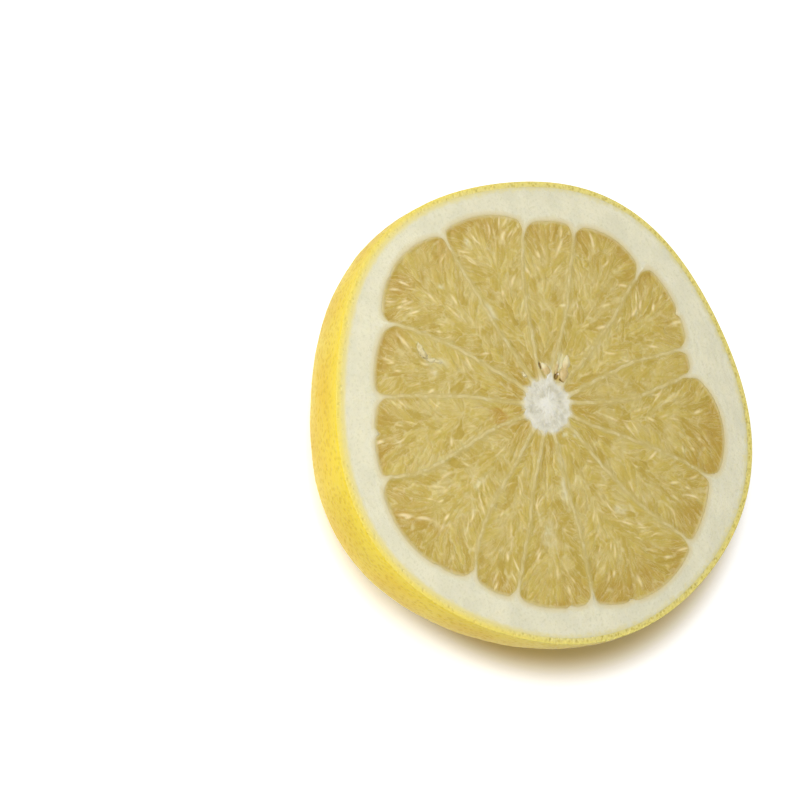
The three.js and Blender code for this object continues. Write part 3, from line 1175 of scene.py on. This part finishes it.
def membrane_film(finish, place, streaky):
    """Colour of a membrane with juice behind it."""
    patchy = finish.noise(4 * MM, place, 3.0)
    film = finish.mix(patchy.ramp(0.35, 0.65), tint(205, 183, 108), tint(219, 199, 134))
    return finish.mix(streaky.ramp(0.5, 0.72) * 0.5, film, tint(230, 216, 166))


# %% [markdown]
# ### The core's colour
#
# The core is fluffy and fibrous, and whitest in its middle. Its fringe is frayed and a little
# see-through, so the juice warms it there.

# %% Core colours
CORE_HALO = tint(221, 208, 163)  # the fringe of the core
PAINTED_HOLLOW_SHADE = tint(138, 108, 38)


def core_fluff(finish, place, beyond, frayed, streaky):
    """Colour of the core from its edge to its middle."""
    fibre = finish.noise(2.6 * MM, place, 5.0, 0.6).ramp(0.36, 0.64)
    fluff = finish.mix(fibre, tint(203, 198, 175), tint(225, 221, 203))
    fringe = frayed.ramp(-2.4 * MM, -0.7 * MM)
    fluff = finish.mix(fringe * 0.5, fluff, tint(230, 226, 207))
    middle = (beyond + 5 * MM * (streaky - 0.5)).ramp(-4 * MM, -7 * MM)
    return finish.mix(middle * 0.8, fluff, tint(236, 234, 220))


def with_core(finish, color, place, sponge, streaky):
    """The colour round the core, then the core over it, then the painted shade of the hollows."""
    beyond = finish.attribute("beyond_core")
    frayed = beyond + (1.8 * MM * (sponge - 0.5) + 2.4 * MM * (streaky - 0.5))
    color = finish.mix(frayed.ramp(1.4 * MM, 0.4 * MM) * 0.8, color, CORE_HALO)
    fluff = core_fluff(finish, place, beyond, frayed, streaky)
    color = finish.mix(frayed.ramp(0.55 * MM, -0.45 * MM), color, fluff)
    # painted shade: the hollows beside the seeds are painted dark brown
    return finish.mix(finish.attribute("hollow").ramp(0.15, 0.6), color, PAINTED_HOLLOW_SHADE)


# %% [markdown]
# ### One finish for pith, membranes and core
#
# Colours are laid over each other in the order in which they hide each other. The bumps are the
# same sponge everywhere, only finer than anything in the mesh.

# %% Pith finish
def pith_finish():
    finish = Finish("pith_sponge")
    place = finish.place()
    thin = finish.attribute("thin")
    sponge = finish.noise(0.9 * MM, place, 3.0, 0.65)
    streaky = finish.noise(1.6 * MM, place, 2.0)
    white = towards_pulp(finish, open_pith(finish, place, sponge), sponge)
    color = finish.mix(thin * 0.97, white, membrane_film(finish, place, streaky))
    color = with_core(finish, color, place, sponge, streaky)
    bumps = sponge + 0.6 * finish.noise(0.35 * MM, place, 2.0)
    finish.set(
        Base_Color=color,
        Roughness=0.7 - 0.35 * thin,
        Normal=finish.bump(bumps, 0.16 * MM, 0.5),
        Subsurface_Weight=0.4,
        Subsurface_Radius=(1.0, 0.85, 0.5),
        Subsurface_Scale=2 * MM,
        Specular_IOR_Level=0.35,
    )
    return finish


finished(pith, "pith", pith_finish(), "pith")

# %% [markdown]
# ## Segments of juice sacs
#
# A segment is packed with juice sacs: drops 5 to 20 mm long that hang from its outer wall and
# its sides and point inwards. Near the rind they are cut lengthwise and lie like a fan. Half way
# in they curl, so that the knife crosses them at every angle. Each segment starts as a fine grid,
# bent between its two membranes. Sac centres are strewn over it with a direction each, and every
# point of the grid belongs to the sac that is nearest when distance is measured longer along the
# sac than across it. The borders between sacs are the pale films, and the height rises from them
# into a low dome.

# %% Direction of the sacs
CURL = 0.9  # how far the sacs turn aside half way in, in radians
CURL_SIZE = 13 * MM
CURL_PLACE, CURL_WIDTH = 0.52, 0.2  # shares of the way from the core to the rind
FOCUS = 11  # mm; the smaller, the more the sacs fan out
CURL_FOCUS, CORE_FOCUS = 6, 12  # what it is less where they curl, and more towards the core


def curled(share):
    """1 where the sacs curl, half way from core to rind, and 0 near both ends."""
    return np.exp(-((share - CURL_PLACE) / CURL_WIDTH) ** 2)


def sac_turn(i, x, y, radius, across):
    """The direction in which the sacs of segment i point at a place."""
    share = radius / mean_reach(i)
    focus = (FOCUS - CURL_FOCUS * curled(share) + CORE_FOCUS * np.clip(0.35 - share, 0, 1)) * MM
    first, second = side_bearings(i, radius)
    fan = np.arctan2((across - 0.5) * radius * (second - first), focus)
    swirl = (0.2 + CURL * curled(share)) * smooth_noise(x, y, CURL_SIZE, 21)
    return first + (second - first) * across + fan + swirl


def spot(i, bearing, radius, across):
    """A place in segment i, and the direction in which its sacs point there."""
    x = CORE_X + radius * math.cos(bearing)
    y = CORE_Y + radius * math.sin(bearing)
    turn = sac_turn(i, np.array([x]), np.array([y]), np.array([radius]), across)
    return x, y, float(turn[0])


first, second = side_bearings(0, 30 * MM)
turn = spot(0, float(first + second) / 2, 30 * MM, 0.5)[2]
print("sacs in the middle of segment_01 point at", round(math.degrees(turn)), "degrees")

# %% [markdown]
# ### Strewing the sacs
#
# Sacs stand in rows from the core to the rind, every second one set back by half a length, and
# all of them shaken out of place. Half way in they are shorter, as the knife crosses them there.
# Each is one row of numbers.

# %% Strew the sacs
SAC_LENGTH = 7.5 * MM  # half of it
SAC_WIDTH = 1.3 * MM  # half of it
SAC_SPACING_ALONG = 9 * MM
SAC_SPACING_ACROSS = 2.5 * MM
SAC_BEND = 28  # how strongly a sac curves, per metre
SHAKE_ACROSS, SHAKE_ALONG, SHAKE_TURN = 0.3, 0.35, 0.12  # the first two in spacings, then radians
SHORTENING = 0.45  # share that a sac loses half way in
SAC_SIZES = (0.75, 1.3)  # the smallest and largest share of the usual length and width
# The numbers in a row. A sac's length and width are shares of those above, and its strength says
# how high it bulges.
PLACE_X, PLACE_Y, TURN, LENGTH, WIDTH, STRENGTH, LEAN, BEND = range(8)


def strew_sacs(i, random):
    """Places and characters of the sacs of segment i, one row each."""
    sacs = []
    radius = CORE_RADIUS + 1 * MM
    while radius < mean_reach(i) + 4 * MM:
        first, second = side_bearings(i, radius)
        width = float(radius * (second - first))
        number = max(2, round(width / SAC_SPACING_ACROSS))
        for k in range(number):
            across = (k + 0.5 + random.uniform(-SHAKE_ACROSS, SHAKE_ACROSS)) / number
            shift = k % 2 * 0.5 + random.uniform(-SHAKE_ALONG, SHAKE_ALONG)
            here = radius + shift * SAC_SPACING_ALONG
            bearing = float(first + (second - first) * across)
            x, y, turn = spot(i, bearing, here, across)
            short = 1 - SHORTENING * float(curled(here / mean_reach(i)))
            turn = turn + random.normal(0, SHAKE_TURN)
            length = random.uniform(*SAC_SIZES) * short
            width_share = random.uniform(*SAC_SIZES)
            strength = random.uniform(0, 1)
            lean = random.normal(0, 1)
            bend = random.normal(0, SAC_BEND)
            sacs.append((x, y, turn, length, width_share, strength, lean, bend))
        radius += SAC_SPACING_ALONG
    return np.array(sacs)


def sac_place(x, y, sac):
    """Lengthwise and sideways place of points in the curved frame of a sac."""
    from_x, from_y, turn = x - sac[..., PLACE_X], y - sac[..., PLACE_Y], sac[..., TURN]
    along = from_x * np.cos(turn) + from_y * np.sin(turn)
    across = from_y * np.cos(turn) - from_x * np.sin(turn)
    return along, across - sac[..., BEND] * along ** 2


def nearest_sacs(x, y, sacs):
    """For each point: its sac, how far it lies from the border, and its place in the sac."""
    best = np.full(len(x), 1e9)
    second = np.full(len(x), 1e9)
    owner = np.zeros(len(x), int)
    for number, sac in enumerate(sacs):
        along, across = sac_place(x, y, sac)
        length, width = SAC_LENGTH * sac[LENGTH], SAC_WIDTH * sac[WIDTH]
        distance = np.hypot(along / length, across / width)
        closer = distance < best
        second = np.where(closer, best, np.minimum(second, distance))
        owner = np.where(closer, number, owner)
        best = np.where(closer, distance, best)
    along, across = sac_place(x, y, sacs[owner])
    return owner, (second - best) * SAC_WIDTH, along, across


counts = [len(strew_sacs(i, np.random.default_rng(0))) for i in range(COUNT)]
print("sacs that a segment holds:", min(counts), "to", max(counts))

# %% [markdown]
# ### Painted gleams
#
# Here and there a short pale dash along a sac is painted as a painted highlight, a glint of the wet
# surface. The outer half of a segment has the most and the brightest. They are rows of numbers like
# the sacs, and each point of the grid keeps how much of a dash it lies in.

# %% Strew the gleams
GLEAM_SPACING = 4.1 * MM
GLEAM_LENGTH = 2.1 * MM  # half of it
GLEAM_WIDTH = 0.44 * MM  # half of it
GLEAM_BEND = 60  # how strongly a dash curves, per metre
GLEAM_MARGIN = 0.06  # share of the way across that stays bare beside a membrane
GLEAM_FADE = 2.4  # the larger, the fewer of them are bright
GLEAM_TURN = 0.15
GLEAM_LENGTHS, GLEAM_WIDTHS = (0.5, 1.5), (0.6, 1.3)


def strew_painted_gleams(i, random):
    """Place, direction, length, width, strength and bend of each painted glint in segment i."""
    gleams = []
    area = spread(i) / 2 * (mean_reach(i) ** 2 - CORE_RADIUS ** 2)
    for _ in range(int(area / GLEAM_SPACING ** 2)):
        share = random.uniform(0, 1) ** 0.5
        radius = CORE_RADIUS + (mean_reach(i) - CORE_RADIUS) * share
        across = random.uniform(GLEAM_MARGIN, 1 - GLEAM_MARGIN)
        first, second = side_bearings(i, radius)
        x, y, turn = spot(i, float(first + (second - first) * across), radius, across)
        strength = random.uniform(0.3, 1) ** GLEAM_FADE * (0.5 + 0.5 * share)
        turn = turn + random.normal(0, GLEAM_TURN)
        length = random.uniform(*GLEAM_LENGTHS)
        width = random.uniform(*GLEAM_WIDTHS)
        bend = random.normal(0, GLEAM_BEND)
        gleams.append((x, y, turn, length, width, strength, 0, bend))
    return np.array(gleams)


def painted_gleam_at(x, y, gleams):
    """How much of a painted glint each point lies in, from 0 to 1."""
    most = np.zeros(len(x))
    for gleam in gleams:
        along, across = sac_place(x, y, gleam)
        length, width = GLEAM_LENGTH * gleam[LENGTH], GLEAM_WIDTH * gleam[WIDTH]
        inside = np.exp(-(along / length) ** 2 - (across / width) ** 2)
        most = np.maximum(most, gleam[STRENGTH] * inside)
    return most


counts = [len(strew_painted_gleams(i, np.random.default_rng(0))) for i in range(COUNT)]
print("gleams in a segment:", min(counts), "to", max(counts))

# %% [markdown]
# ### The body of a segment
#
# A segment is a wedge whose underside is part of a rounded body, as the solids have it. Any point
# of it is told by three numbers: how far out, how far across and how far round towards the
# underside. The cut face is the part where the last of them is 0.

# %% Wedge of a segment
POCKET_GAP = 0.6 * MM  # the pulp ends this far above the floor of its pocket


def wedge_point(i, out, across, angle, grow):
    """A point of segment i: out and across from 0 to 1, and angle 0 at the cut face."""
    under_core = 2 * CORE_SHRINK + grow if grow > 0 else grow  # the core shows smaller than it is
    inner = CORE_RADIUS - under_core
    width = pulp_reach(i, 0.5) * spread(i) - WALL
    corner = min(SEGMENTS[i][3] * MM, width / 2)
    near = np.maximum(0, corner - width * np.minimum(across, 1 - across))
    drop = corner - np.sqrt(corner ** 2 - near ** 2)
    outer = pulp_reach(i, across) - drop + grow
    radius = inner + (outer - inner) * out * np.cos(angle) ** (2 / PULP_FULLNESS)
    side = np.arcsin(np.clip((half_wall(radius) - grow) / radius, -1, 1))
    first, second = side_bearings(i, radius)
    bearing = first + side + (second - first - 2 * side) * across
    depth = (PULP_DEPTH - drop - POCKET_GAP) * np.sin(angle) ** (2 / PULP_FULLNESS)
    x, y = CORE_X + radius * np.cos(bearing), CORE_Y + radius * np.sin(bearing)
    return x, y, CUT_HEIGHT - depth, radius


lowest = wedge_point(0, 0.5, 0.5, math.pi / 2, 0)[2]
print("segment_01 reaches down to", round(float(lowest) / MM, 1), "mm above the table")

# %% [markdown]
# ### A grid for each segment
#
# A fine grid makes the cut face of a segment. Its edge is extruded in rings, and each point keeps
# the number of its ring, so that the rings can be bent down and closed under the segment.

# %% Grow a segment
ALONG_STEP = 0.31 * MM
ACROSS_STEP = 0.28 * MM
SEGMENT_RINGS = 7
CROWDING = 0.35


def crowd(share):
    """Draws shares of the way across towards both ends, for round corners."""
    return share - CROWDING * np.sin(2 * math.pi * share) / (2 * math.pi)


def grow_segment(i):
    """A fine grid for the cut face of segment i, with rings that hang on its edge."""
    along_steps = int(mean_reach(i) / ALONG_STEP)
    across_steps = int(mean_reach(i) * spread(i) / ACROSS_STEP)
    deselect_all()
    bpy.ops.mesh.primitive_grid_add(x_subdivisions=along_steps, y_subdivisions=across_steps, size=1)
    piece = bpy.context.object
    piece.name = f"pulp_{i + 1:02d}"
    set_values(piece, "ring", np.zeros(len(piece.data.vertices)))
    bpy.ops.object.mode_set(mode="EDIT")
    select_rim(piece)
    for ring in range(1, SEGMENT_RINGS + 1):
        bpy.ops.mesh.extrude_edges_move()
        edit = bmesh.from_edit_mesh(piece.data)
        layer = edit.verts.layers.float["ring"]
        for point in edit.verts:
            if point.select:
                point[layer] = ring
    bpy.ops.object.mode_set(mode="OBJECT")
    return piece


print("round corners move a tenth of the way across to", round(float(crowd(0.1)), 3))

# %% [markdown]
# ### The surface of the pulp
#
# Each sac is a low dome, higher or lower and leaning a little along its length. The pulp sinks
# towards its edges, where it meets the pith, and the finish gets its values from the same sacs.

# %% Surface of the pulp
WARP, WARP_SIZE = 0.35 * MM, 3.2 * MM  # the borders of the sacs aren't straight
DOME_WIDTH = 0.65 * MM  # from its border, a sac rises to its full height within about this
DOME_LOW, DOME_MORE = 0.03 * MM, 0.12 * MM  # height of the flattest dome, and what the fullest adds
DOME_MIDDLE = 0.06 * MM  # taken off again, so that domes rise and borders sink
LEAN_SLOPE, LEAN_LIMIT = 0.02, 0.15 * MM
PULP_SWELL, PULP_SWELL_SIZE = 0.12 * MM, 9 * MM
GLEAM_HEIGHT = 0.04 * MM
SURFACE_DROP = 0.14 * MM  # the middle of the pulp lies this far below the cut face
EDGE_DROP = 0.03 * MM  # and its edge this far
EDGE_WIDTH = 1.2 * MM
HIDDEN_FROM, HIDDEN_SLOPE = 0.02 * MM, 0.7  # beyond its edge the pulp slopes away under the pith
FILM_THIN, FILM_MORE = 0.13, 0.15  # half width of a film in mm, and what it is wider in places


def sac_surface(i, x, y, depth):
    """Height over the cut face and the values that the finish reads, for points of segment i."""
    random = np.random.default_rng(100 + i)
    sacs = strew_sacs(i, random)
    gleam = painted_gleam_at(x, y, strew_painted_gleams(i, random))
    warp_x = WARP * smooth_noise(x, y, WARP_SIZE, 41)
    warp_y = WARP * smooth_noise(x, y, WARP_SIZE, 42)
    owner, border, along, across = nearest_sacs(x + warp_x, y + warp_y, sacs)
    dome = 1 - np.exp(-(border / DOME_WIDTH) ** 1.6)
    bulge = sacs[owner, STRENGTH]
    lean = np.clip(sacs[owner, LEAN] * LEAN_SLOPE * along, -LEAN_LIMIT, LEAN_LIMIT)
    height = dome * (DOME_LOW + DOME_MORE * bulge + 0.6 * lean) - DOME_MIDDLE - SURFACE_DROP
    height += PULP_SWELL * smooth_noise(x, y, PULP_SWELL_SIZE, 200 + i) + GLEAM_HEIGHT * gleam
    settle = np.clip(depth / EDGE_WIDTH, 0, 1) ** 1.5
    sunk = patches_at(x, y, HOLLOWS)
    hidden = np.minimum(0, depth + HIDDEN_FROM)
    height = height * settle - EDGE_DROP * (1 - settle) - HOLLOW_DEPTH * sunk + HIDDEN_SLOPE * hidden
    broad = np.clip(0.5 + 0.9 * smooth_noise(x, y, 5 * MM, 43), 0, 1)
    film = np.exp(-(border / ((FILM_THIN + FILM_MORE * broad) * MM)) ** 2)
    return height, {
        "film": film,
        "bulge": bulge,
        "sac_number": owner + 0.5,
        "sac_along": along,
        "sac_across": across,
        "inside": depth,
        "gleam": gleam,
        "hollow": sunk,
        "veil": patches_at(x, y, VEILS),
        "beyond_core": beyond_core(x, y),
    }


# %% [markdown]
# ### Shape the segments
#
# The cut face of a segment runs on a little under the pith, and everything under it keeps clear
# of the pocket. A segment's inner end comes to a point, where doubled points are merged.

# %% Shape a segment
GROW = 0.4 * MM  # the pulp runs on under the edge of the pith
UNDER_GROW = -0.5 * MM  # and keeps clear of it further down
SEGMENT_WELD = 0.002 * MM


def shape_segment(i):
    piece = grow_segment(i)
    co = points_of(piece)
    ring = values_of(piece, "ring")
    out = co[:, 0] + 0.5
    across = crowd(co[:, 1] + 0.5)
    angle = ring / SEGMENT_RINGS * math.pi / 2
    top = ring < 0.5
    low = ~top
    x, y, z, radius = (np.zeros(len(co)) for _ in range(4))
    x[top], y[top], _, radius[top] = wedge_point(i, out[top], across[top], 0.0, GROW)
    x[low], y[low], z[low], _ = wedge_point(i, out[low], across[low], angle[low], UNDER_GROW)
    first, second = side_bearings(i, radius[top])
    bearing = np.arctan2(y[top] - CORE_Y, x[top] - CORE_X)
    share = turned(bearing - first) / (second - first)
    depth = pulp_depth_at(i, np.clip(share, 0, 1), radius[top])
    height, values = sac_surface(i, x[top], y[top], depth)
    z[top] = CUT_HEIGHT + height
    set_points(piece, np.stack([x, y, z], 1))
    values["outwards"] = radius[top] / mean_reach(i)
    values["from_pith"] = pulp_reach(i, np.clip(share, 0, 1)) - radius[top]
    for name, on_top in values.items():
        full = np.zeros(len(co))
        full[top] = on_top
        set_values(piece, name, full)
    weld(piece, SEGMENT_WELD)
    return piece


segments = [shape_segment(number) for number in range(COUNT)]
print("segment points", [len(piece.data.vertices) for piece in segments])

# %% [markdown]
# ### The pulp's finish
#
# Ochre and translucent, more amber at the two ends of a segment and milkier half way. Each sac
# has its own shade, fine streaks along it, pale films at its borders and a wet coat over all.

# %% Juice
SAC_SHIFT = 0.013  # metres by which the noise is shifted from one sac to the next
STREAK_STRETCH, STRAND_STRETCH = 0.12, 0.06  # the smaller, the longer along the sac


def lengthwise_noise(finish, stretch, size, detail):
    """Noise in the frame of a sac, drawn out along it."""
    along = finish.attribute("sac_along") * stretch
    across = finish.attribute("sac_across")
    number = finish.attribute("sac_number") * SAC_SHIFT
    in_sac = finish.node("CombineXYZ", None, {0: along, 1: across, 2: number})
    return finish.noise(size, in_sac, detail)


def juice_color(finish, place, streak):
    """Colour inside the sacs: a shade each, amber and milky places, streaks and strands."""
    bulge = finish.attribute("bulge")
    outwards = finish.attribute("outwards")
    broad = finish.noise(7 * MM, place, 2.0)
    cloud = finish.noise(5 * MM, place, 3.0, 0.6)
    juice = finish.mix(bulge.ramp(0.05, 0.95), tint(190, 165, 71), tint(203, 181, 90))
    amber = outwards.ramp(0.78, 1.0) * 0.8 + outwards.ramp(0.4, 0.15) * 0.6
    juice = finish.mix(amber * broad.ramp(0.35, 0.6), juice, tint(187, 154, 62))
    milky = outwards.ramp(0.2, 0.4) * outwards.ramp(1.0, 0.7) * cloud.ramp(0.42, 0.64)
    juice = finish.mix(milky * 0.6, juice, tint(211, 194, 128))
    juice = finish.mix(streak.ramp(0.48, 0.75) * 0.42, juice, tint(221, 203, 138))
    juice = finish.mix(streak.ramp(0.5, 0.25) * 0.3, juice, tint(180, 151, 66))
    strand = lengthwise_noise(finish, STRAND_STRETCH, 0.9 * MM, 1.0) - 0.5
    strand = strand.math("ABSOLUTE").ramp(0.05, 0.0)
    return finish.mix(strand * cloud.ramp(0.35, 0.6) * 0.45, juice, tint(224, 207, 146))


# %% [markdown]
# ### Films, painted gleams and edges
#
# Over the juice lie the pale films between the sacs, the painted highlights of the gleams and the
# veils. At the outer end the pulp runs into the pith, at the inner end into the fringe of the core.
# One segment has a bruise at its inner end, and the hollows beside the seeds are painted dark brown
# as painted shade.

# %% Over the juice
STAIN_PLACE = (-4.5 * MM, -17.1 * MM, CUT_HEIGHT)  # a bruise at the inner end of one segment
STAIN_RADIUS = 4 * MM


def with_films(finish, juice, film, patchy, grain):
    """The juice with films, pale grains, painted gleams and veils over it."""
    juice = finish.mix(film * patchy.ramp(0.35, 0.65) * 0.7, juice, tint(223, 207, 147))
    juice = finish.mix(grain.ramp(0.55, 0.72) * 0.22, juice, tint(222, 206, 146))
    # painted highlight: pale glints along the sacs
    gleam = finish.attribute("gleam").ramp(0.03, 0.85)
    juice = finish.mix(gleam * 0.92, juice, tint(240, 222, 166))
    veil = finish.attribute("veil") * (0.3 + 0.7 * patchy.ramp(0.38, 0.6))
    return finish.mix(veil * 0.85, juice, tint(226, 216, 170))


def with_edges(finish, juice, patchy):
    """The pulp's colour, sliding into that of the pith and of the core's fringe."""
    from_pith = finish.attribute("from_pith") + 0.6 * MM * (patchy - 0.5)
    juice = finish.mix(from_pith.ramp(1.3 * MM, -0.1 * MM) * 0.9, juice, EDGE_TINT)
    at_edge = finish.attribute("inside").ramp(0.9 * MM, -0.05 * MM)
    juice = finish.mix(at_edge * 0.6, juice, tint(208, 187, 116))
    fringe = finish.attribute("beyond_core") + 2.4 * MM * (patchy - 0.5)
    return finish.mix(fringe.ramp(1.5 * MM, 0.2 * MM) * 0.85, juice, CORE_HALO)


def with_bruises(finish, juice, place, patchy, streak):
    """The pulp's colour with the bruise and the painted shade of the hollows."""
    from_stain = finish.measure("DISTANCE", place, STAIN_PLACE) + 6 * MM * (patchy - 0.5)
    stain = from_stain.ramp(STAIN_RADIUS, 0.2 * STAIN_RADIUS)
    stain = stain * (0.25 + 0.5 * streak.ramp(0.65, 0.4))
    juice = finish.mix(stain, juice, tint(186, 143, 46))
    # painted shade: the hollows are painted dark brown
    return finish.mix(finish.attribute("hollow").ramp(0.15, 0.6), juice, PAINTED_HOLLOW_SHADE)


# %% [markdown]
# ### One finish for all segments
#
# The segments differ only in the values that their points keep, so one material serves them all.
# Under its wet coat the pulp is translucent, and smoother in the sacs than on the films.

# %% Pulp finish
def pulp_finish():
    finish = Finish("juice_sacs")
    place = finish.place()
    film = finish.attribute("film")
    streak = lengthwise_noise(finish, STREAK_STRETCH, 0.8 * MM, 3.0)
    patchy = finish.noise(3 * MM, place, 2.0)
    grain = finish.noise(0.7 * MM, place, 3.0, 0.7)
    juice = juice_color(finish, place, streak)
    juice = with_films(finish, juice, film, patchy, grain)
    juice = with_edges(finish, juice, patchy)
    juice = with_bruises(finish, juice, place, patchy, streak)
    finish.set(
        Base_Color=juice,
        Roughness=0.36 + 0.2 * film,
        Normal=finish.bump(streak + 0.6 * grain, 0.1 * MM, 0.4),
        Subsurface_Weight=0.55,
        Subsurface_Radius=(1.0, 0.75, 0.3),
        Subsurface_Scale=1.6 * MM,
        Specular_IOR_Level=0.5,
        Coat_Weight=0.35,
        Coat_Roughness=0.18,
        Coat_IOR=1.35,
    )
    return finish


juice_finish = pulp_finish()
for number, segment in enumerate(segments):
    finished(segment, "pulp", juice_finish, f"segment_{number + 1:02d}")

# %% [markdown]
# ## Small seeds
#
# Pomelos have flat, wrinkled, wedge-shaped seeds. The three here never grew: thin tan drops by
# the core, with their points towards the rind. Each is a ball whose points are moved into the
# shape of a drop, with a few lengthwise wrinkles and a slightly crumpled outline.

# %% Lay a small piece on the cut face
def laid(off_x, off_y, bearing, along, aside):
    """Points along and aside of a small piece's middle, turned and moved from the core's axis."""
    turn = math.radians(bearing)
    x = CORE_X + off_x * MM + along * math.cos(turn) - aside * math.sin(turn)
    y = CORE_Y + off_y * MM + along * math.sin(turn) + aside * math.cos(turn)
    return x, y


# %% [markdown]
# ### Shape the seeds
#
# The ball's points are told by their share of the way from one pole to the other and their
# bearing round it, which are easy to turn into the length and the thickness of a drop.

# %% Shape the seeds
# Middle from the core's axis, bearing of the pointed end, length, width, and how far it is
# pinched half way.
SEEDS = [(-9.7, 4.4, 196, 4.6, 2.8, 0), (-9, 8.5, 143, 5.4, 1.6, 0), (-7.2, 10.8, 143, 9, 3.7, 0.5)]
SEED_FLATNESS = 0.5  # height over width
SEED_SINK = 0.3 * MM
SEED_FIT = 0.93  # the wrinkles stay within the seed's own width
SEED_POINT, SEED_ROUNDNESS = 0.75, 0.7  # exponents: how pointed one end is, how round the middle
PINCH_PLACE, PINCH_WIDTH = 0.48, 0.1  # shares of the seed's length
SEED_CURVE = 0.06  # how far its middle line swings aside, as a share of its width
WRINKLES, WRINKLE_DEPTH = 5, 0.05
CRUMPLE_DEPTH, CRUMPLE_SIZE = 0.07, 3.3 * MM


def shape_seed(number):
    off_x, off_y, bearing, length, width, pinch = SEEDS[number]
    deselect_all()
    bpy.ops.mesh.primitive_uv_sphere_add(segments=48, ring_count=40, radius=1)
    seed = bpy.context.object
    seed.name = f"small_seed_{number + 1}"
    co = points_of(seed)
    share = np.arccos(np.clip(co[:, 2], -1, 1)) / math.pi
    round_bearing = np.arctan2(co[:, 1], co[:, 0])
    drop = np.sin(math.pi * np.clip(share, 0, 1) ** SEED_POINT) ** SEED_ROUNDNESS
    thickness = width / 2 * MM * drop
    thickness *= 1 - pinch * np.exp(-((share - PINCH_PLACE) / PINCH_WIDTH) ** 2)
    wave = np.cos(WRINKLES * round_bearing + 3 * share + number)
    wrinkle = WRINKLE_DEPTH * wave * np.sin(math.pi * share)
    noise = smooth_noise(share * 6 * MM, round_bearing * MM, CRUMPLE_SIZE, 51 + number)
    fit = SEED_FIT * thickness * (1 + wrinkle + CRUMPLE_DEPTH * noise)
    along = length * MM * (share - 0.5)
    swing = SEED_CURVE * width * MM * np.sin(2 * math.pi * share)
    aside = fit * np.cos(round_bearing) + swing
    upward = SEED_FLATNESS * fit * np.sin(round_bearing)
    x, y = laid(off_x, off_y, bearing, along, aside)
    set_points(seed, np.stack([x, y, CUT_HEIGHT - SEED_SINK + upward], 1))
    set_values(seed, "tip", share)
    weld(seed)
    return seed


seeds = [shape_seed(number) for number in range(len(SEEDS))]
print("seed points", [len(seed.data.vertices) for seed in seeds])

# %% [markdown]
# ### The seeds' finish
#
# Dry and satin, tan with browner wrinkles, and paler towards the point.

# %% Seed finish
def seed_finish():
    finish = Finish("seed_coat")
    place = finish.place()
    cloudy = finish.noise(1.6 * MM, place, 3.0)
    fine = finish.noise(0.4 * MM, place, 2.0)
    coat = finish.mix(cloudy.ramp(0.35, 0.65), tint(204, 178, 118), tint(217, 195, 138))
    coat = finish.mix(finish.attribute("tip").ramp(0.45, 0.7) * 0.8, coat, tint(231, 220, 172))
    coat = finish.mix(fine.ramp(0.62, 0.8) * 0.4, coat, tint(182, 148, 84))
    finish.set(
        Base_Color=coat,
        Roughness=0.45,
        Normal=finish.bump(cloudy + 0.5 * fine, 0.15 * MM, 0.5),
        Subsurface_Weight=0.25,
        Subsurface_Radius=(1.0, 0.7, 0.4),
        Subsurface_Scale=0.2 * MM,
    )
    return finish


coat_finish = seed_finish()
for number, seed in enumerate(seeds):
    finished(seed, "seed", coat_finish, f"seed_{number + 1}")

# %% [markdown]
# ## Torn scraps
#
# The knife pulled a few shreds of membrane out of place. They lie on the pulp as small, pale,
# crumpled flakes. Each is a flattened ball, turned and pulled out of shape, and all are one piece.

# %% Lay the scraps
# Middle of each scrap from the core's axis, half length and half width in mm, and its bearing.
SCRAPS = [
    (-29.9, -31.6, 2.6, 1, 5), (-26.3, -29.9, 1.3, 0.6, 70),
    (-25, -28, 1.2, 0.5, 55), (-10.7, -3.3, 0.9, 0.5, 20),
]
SCRAP_HEIGHT = 0.22 * MM
SCRAP_SINK = 0.06 * MM
SCRAP_CRUMPLE, SCRAP_CRUMPLE_SIZE = 0.08 * MM, 1.4 * MM
RAGGEDNESS, RAGGEDNESS_SIZE = 0.35, 4 * MM


def lay_scrap(number):
    off_x, off_y, half_length, half_width, bearing = SCRAPS[number]
    deselect_all()
    bpy.ops.mesh.primitive_ico_sphere_add(subdivisions=4, radius=1)
    scrap = bpy.context.object
    ball = points_of(scrap)
    noise_x, noise_y = 5 * MM * ball[:, 0] + 9 * MM * number, 5 * MM * ball[:, 1]
    ragged = 1 + RAGGEDNESS * smooth_noise(noise_x, noise_y, RAGGEDNESS_SIZE, 61)
    along = half_length * MM * ball[:, 0] * ragged
    aside = half_width * MM * (ball[:, 1] * ragged + 0.5 * ball[:, 0] ** 2)
    x, y = laid(off_x, off_y, bearing, along, aside)
    crumple = SCRAP_CRUMPLE * smooth_noise(x, y, SCRAP_CRUMPLE_SIZE, 62)
    z = CUT_HEIGHT - SCRAP_SINK + crumple + SCRAP_HEIGHT * ball[:, 2]
    set_points(scrap, np.stack([x, y, z], 1))
    return scrap


def join(pieces, name):
    """Joins pieces that don't touch into one object."""
    deselect_all()
    for piece in pieces:
        piece.select_set(True)
    bpy.context.view_layer.objects.active = pieces[0]
    bpy.ops.object.join()
    pieces[0].name = name
    pieces[0].data.name = name
    return pieces[0]


scraps = join([lay_scrap(number) for number in range(len(SCRAPS))], "torn_scraps")
print("scrap points", len(scraps.data.vertices))

# %% [markdown]
# ### The scraps' finish
#
# The same white tissue as the membranes, wet and a little see-through, so cream rather than white.

# %% Scrap finish
def scrap_finish():
    finish = Finish("torn_membrane")
    place = finish.place()
    cloudy = finish.noise(1.2 * MM, place, 3.0)
    finish.set(
        Base_Color=finish.mix(cloudy.ramp(0.35, 0.65), tint(211, 194, 138), tint(226, 213, 164)),
        Roughness=0.6,
        Normal=finish.bump(cloudy, 0.15 * MM, 0.5),
        Specular_IOR_Level=0.3,
    )
    return finish


finished(scraps, "pith", scrap_finish())
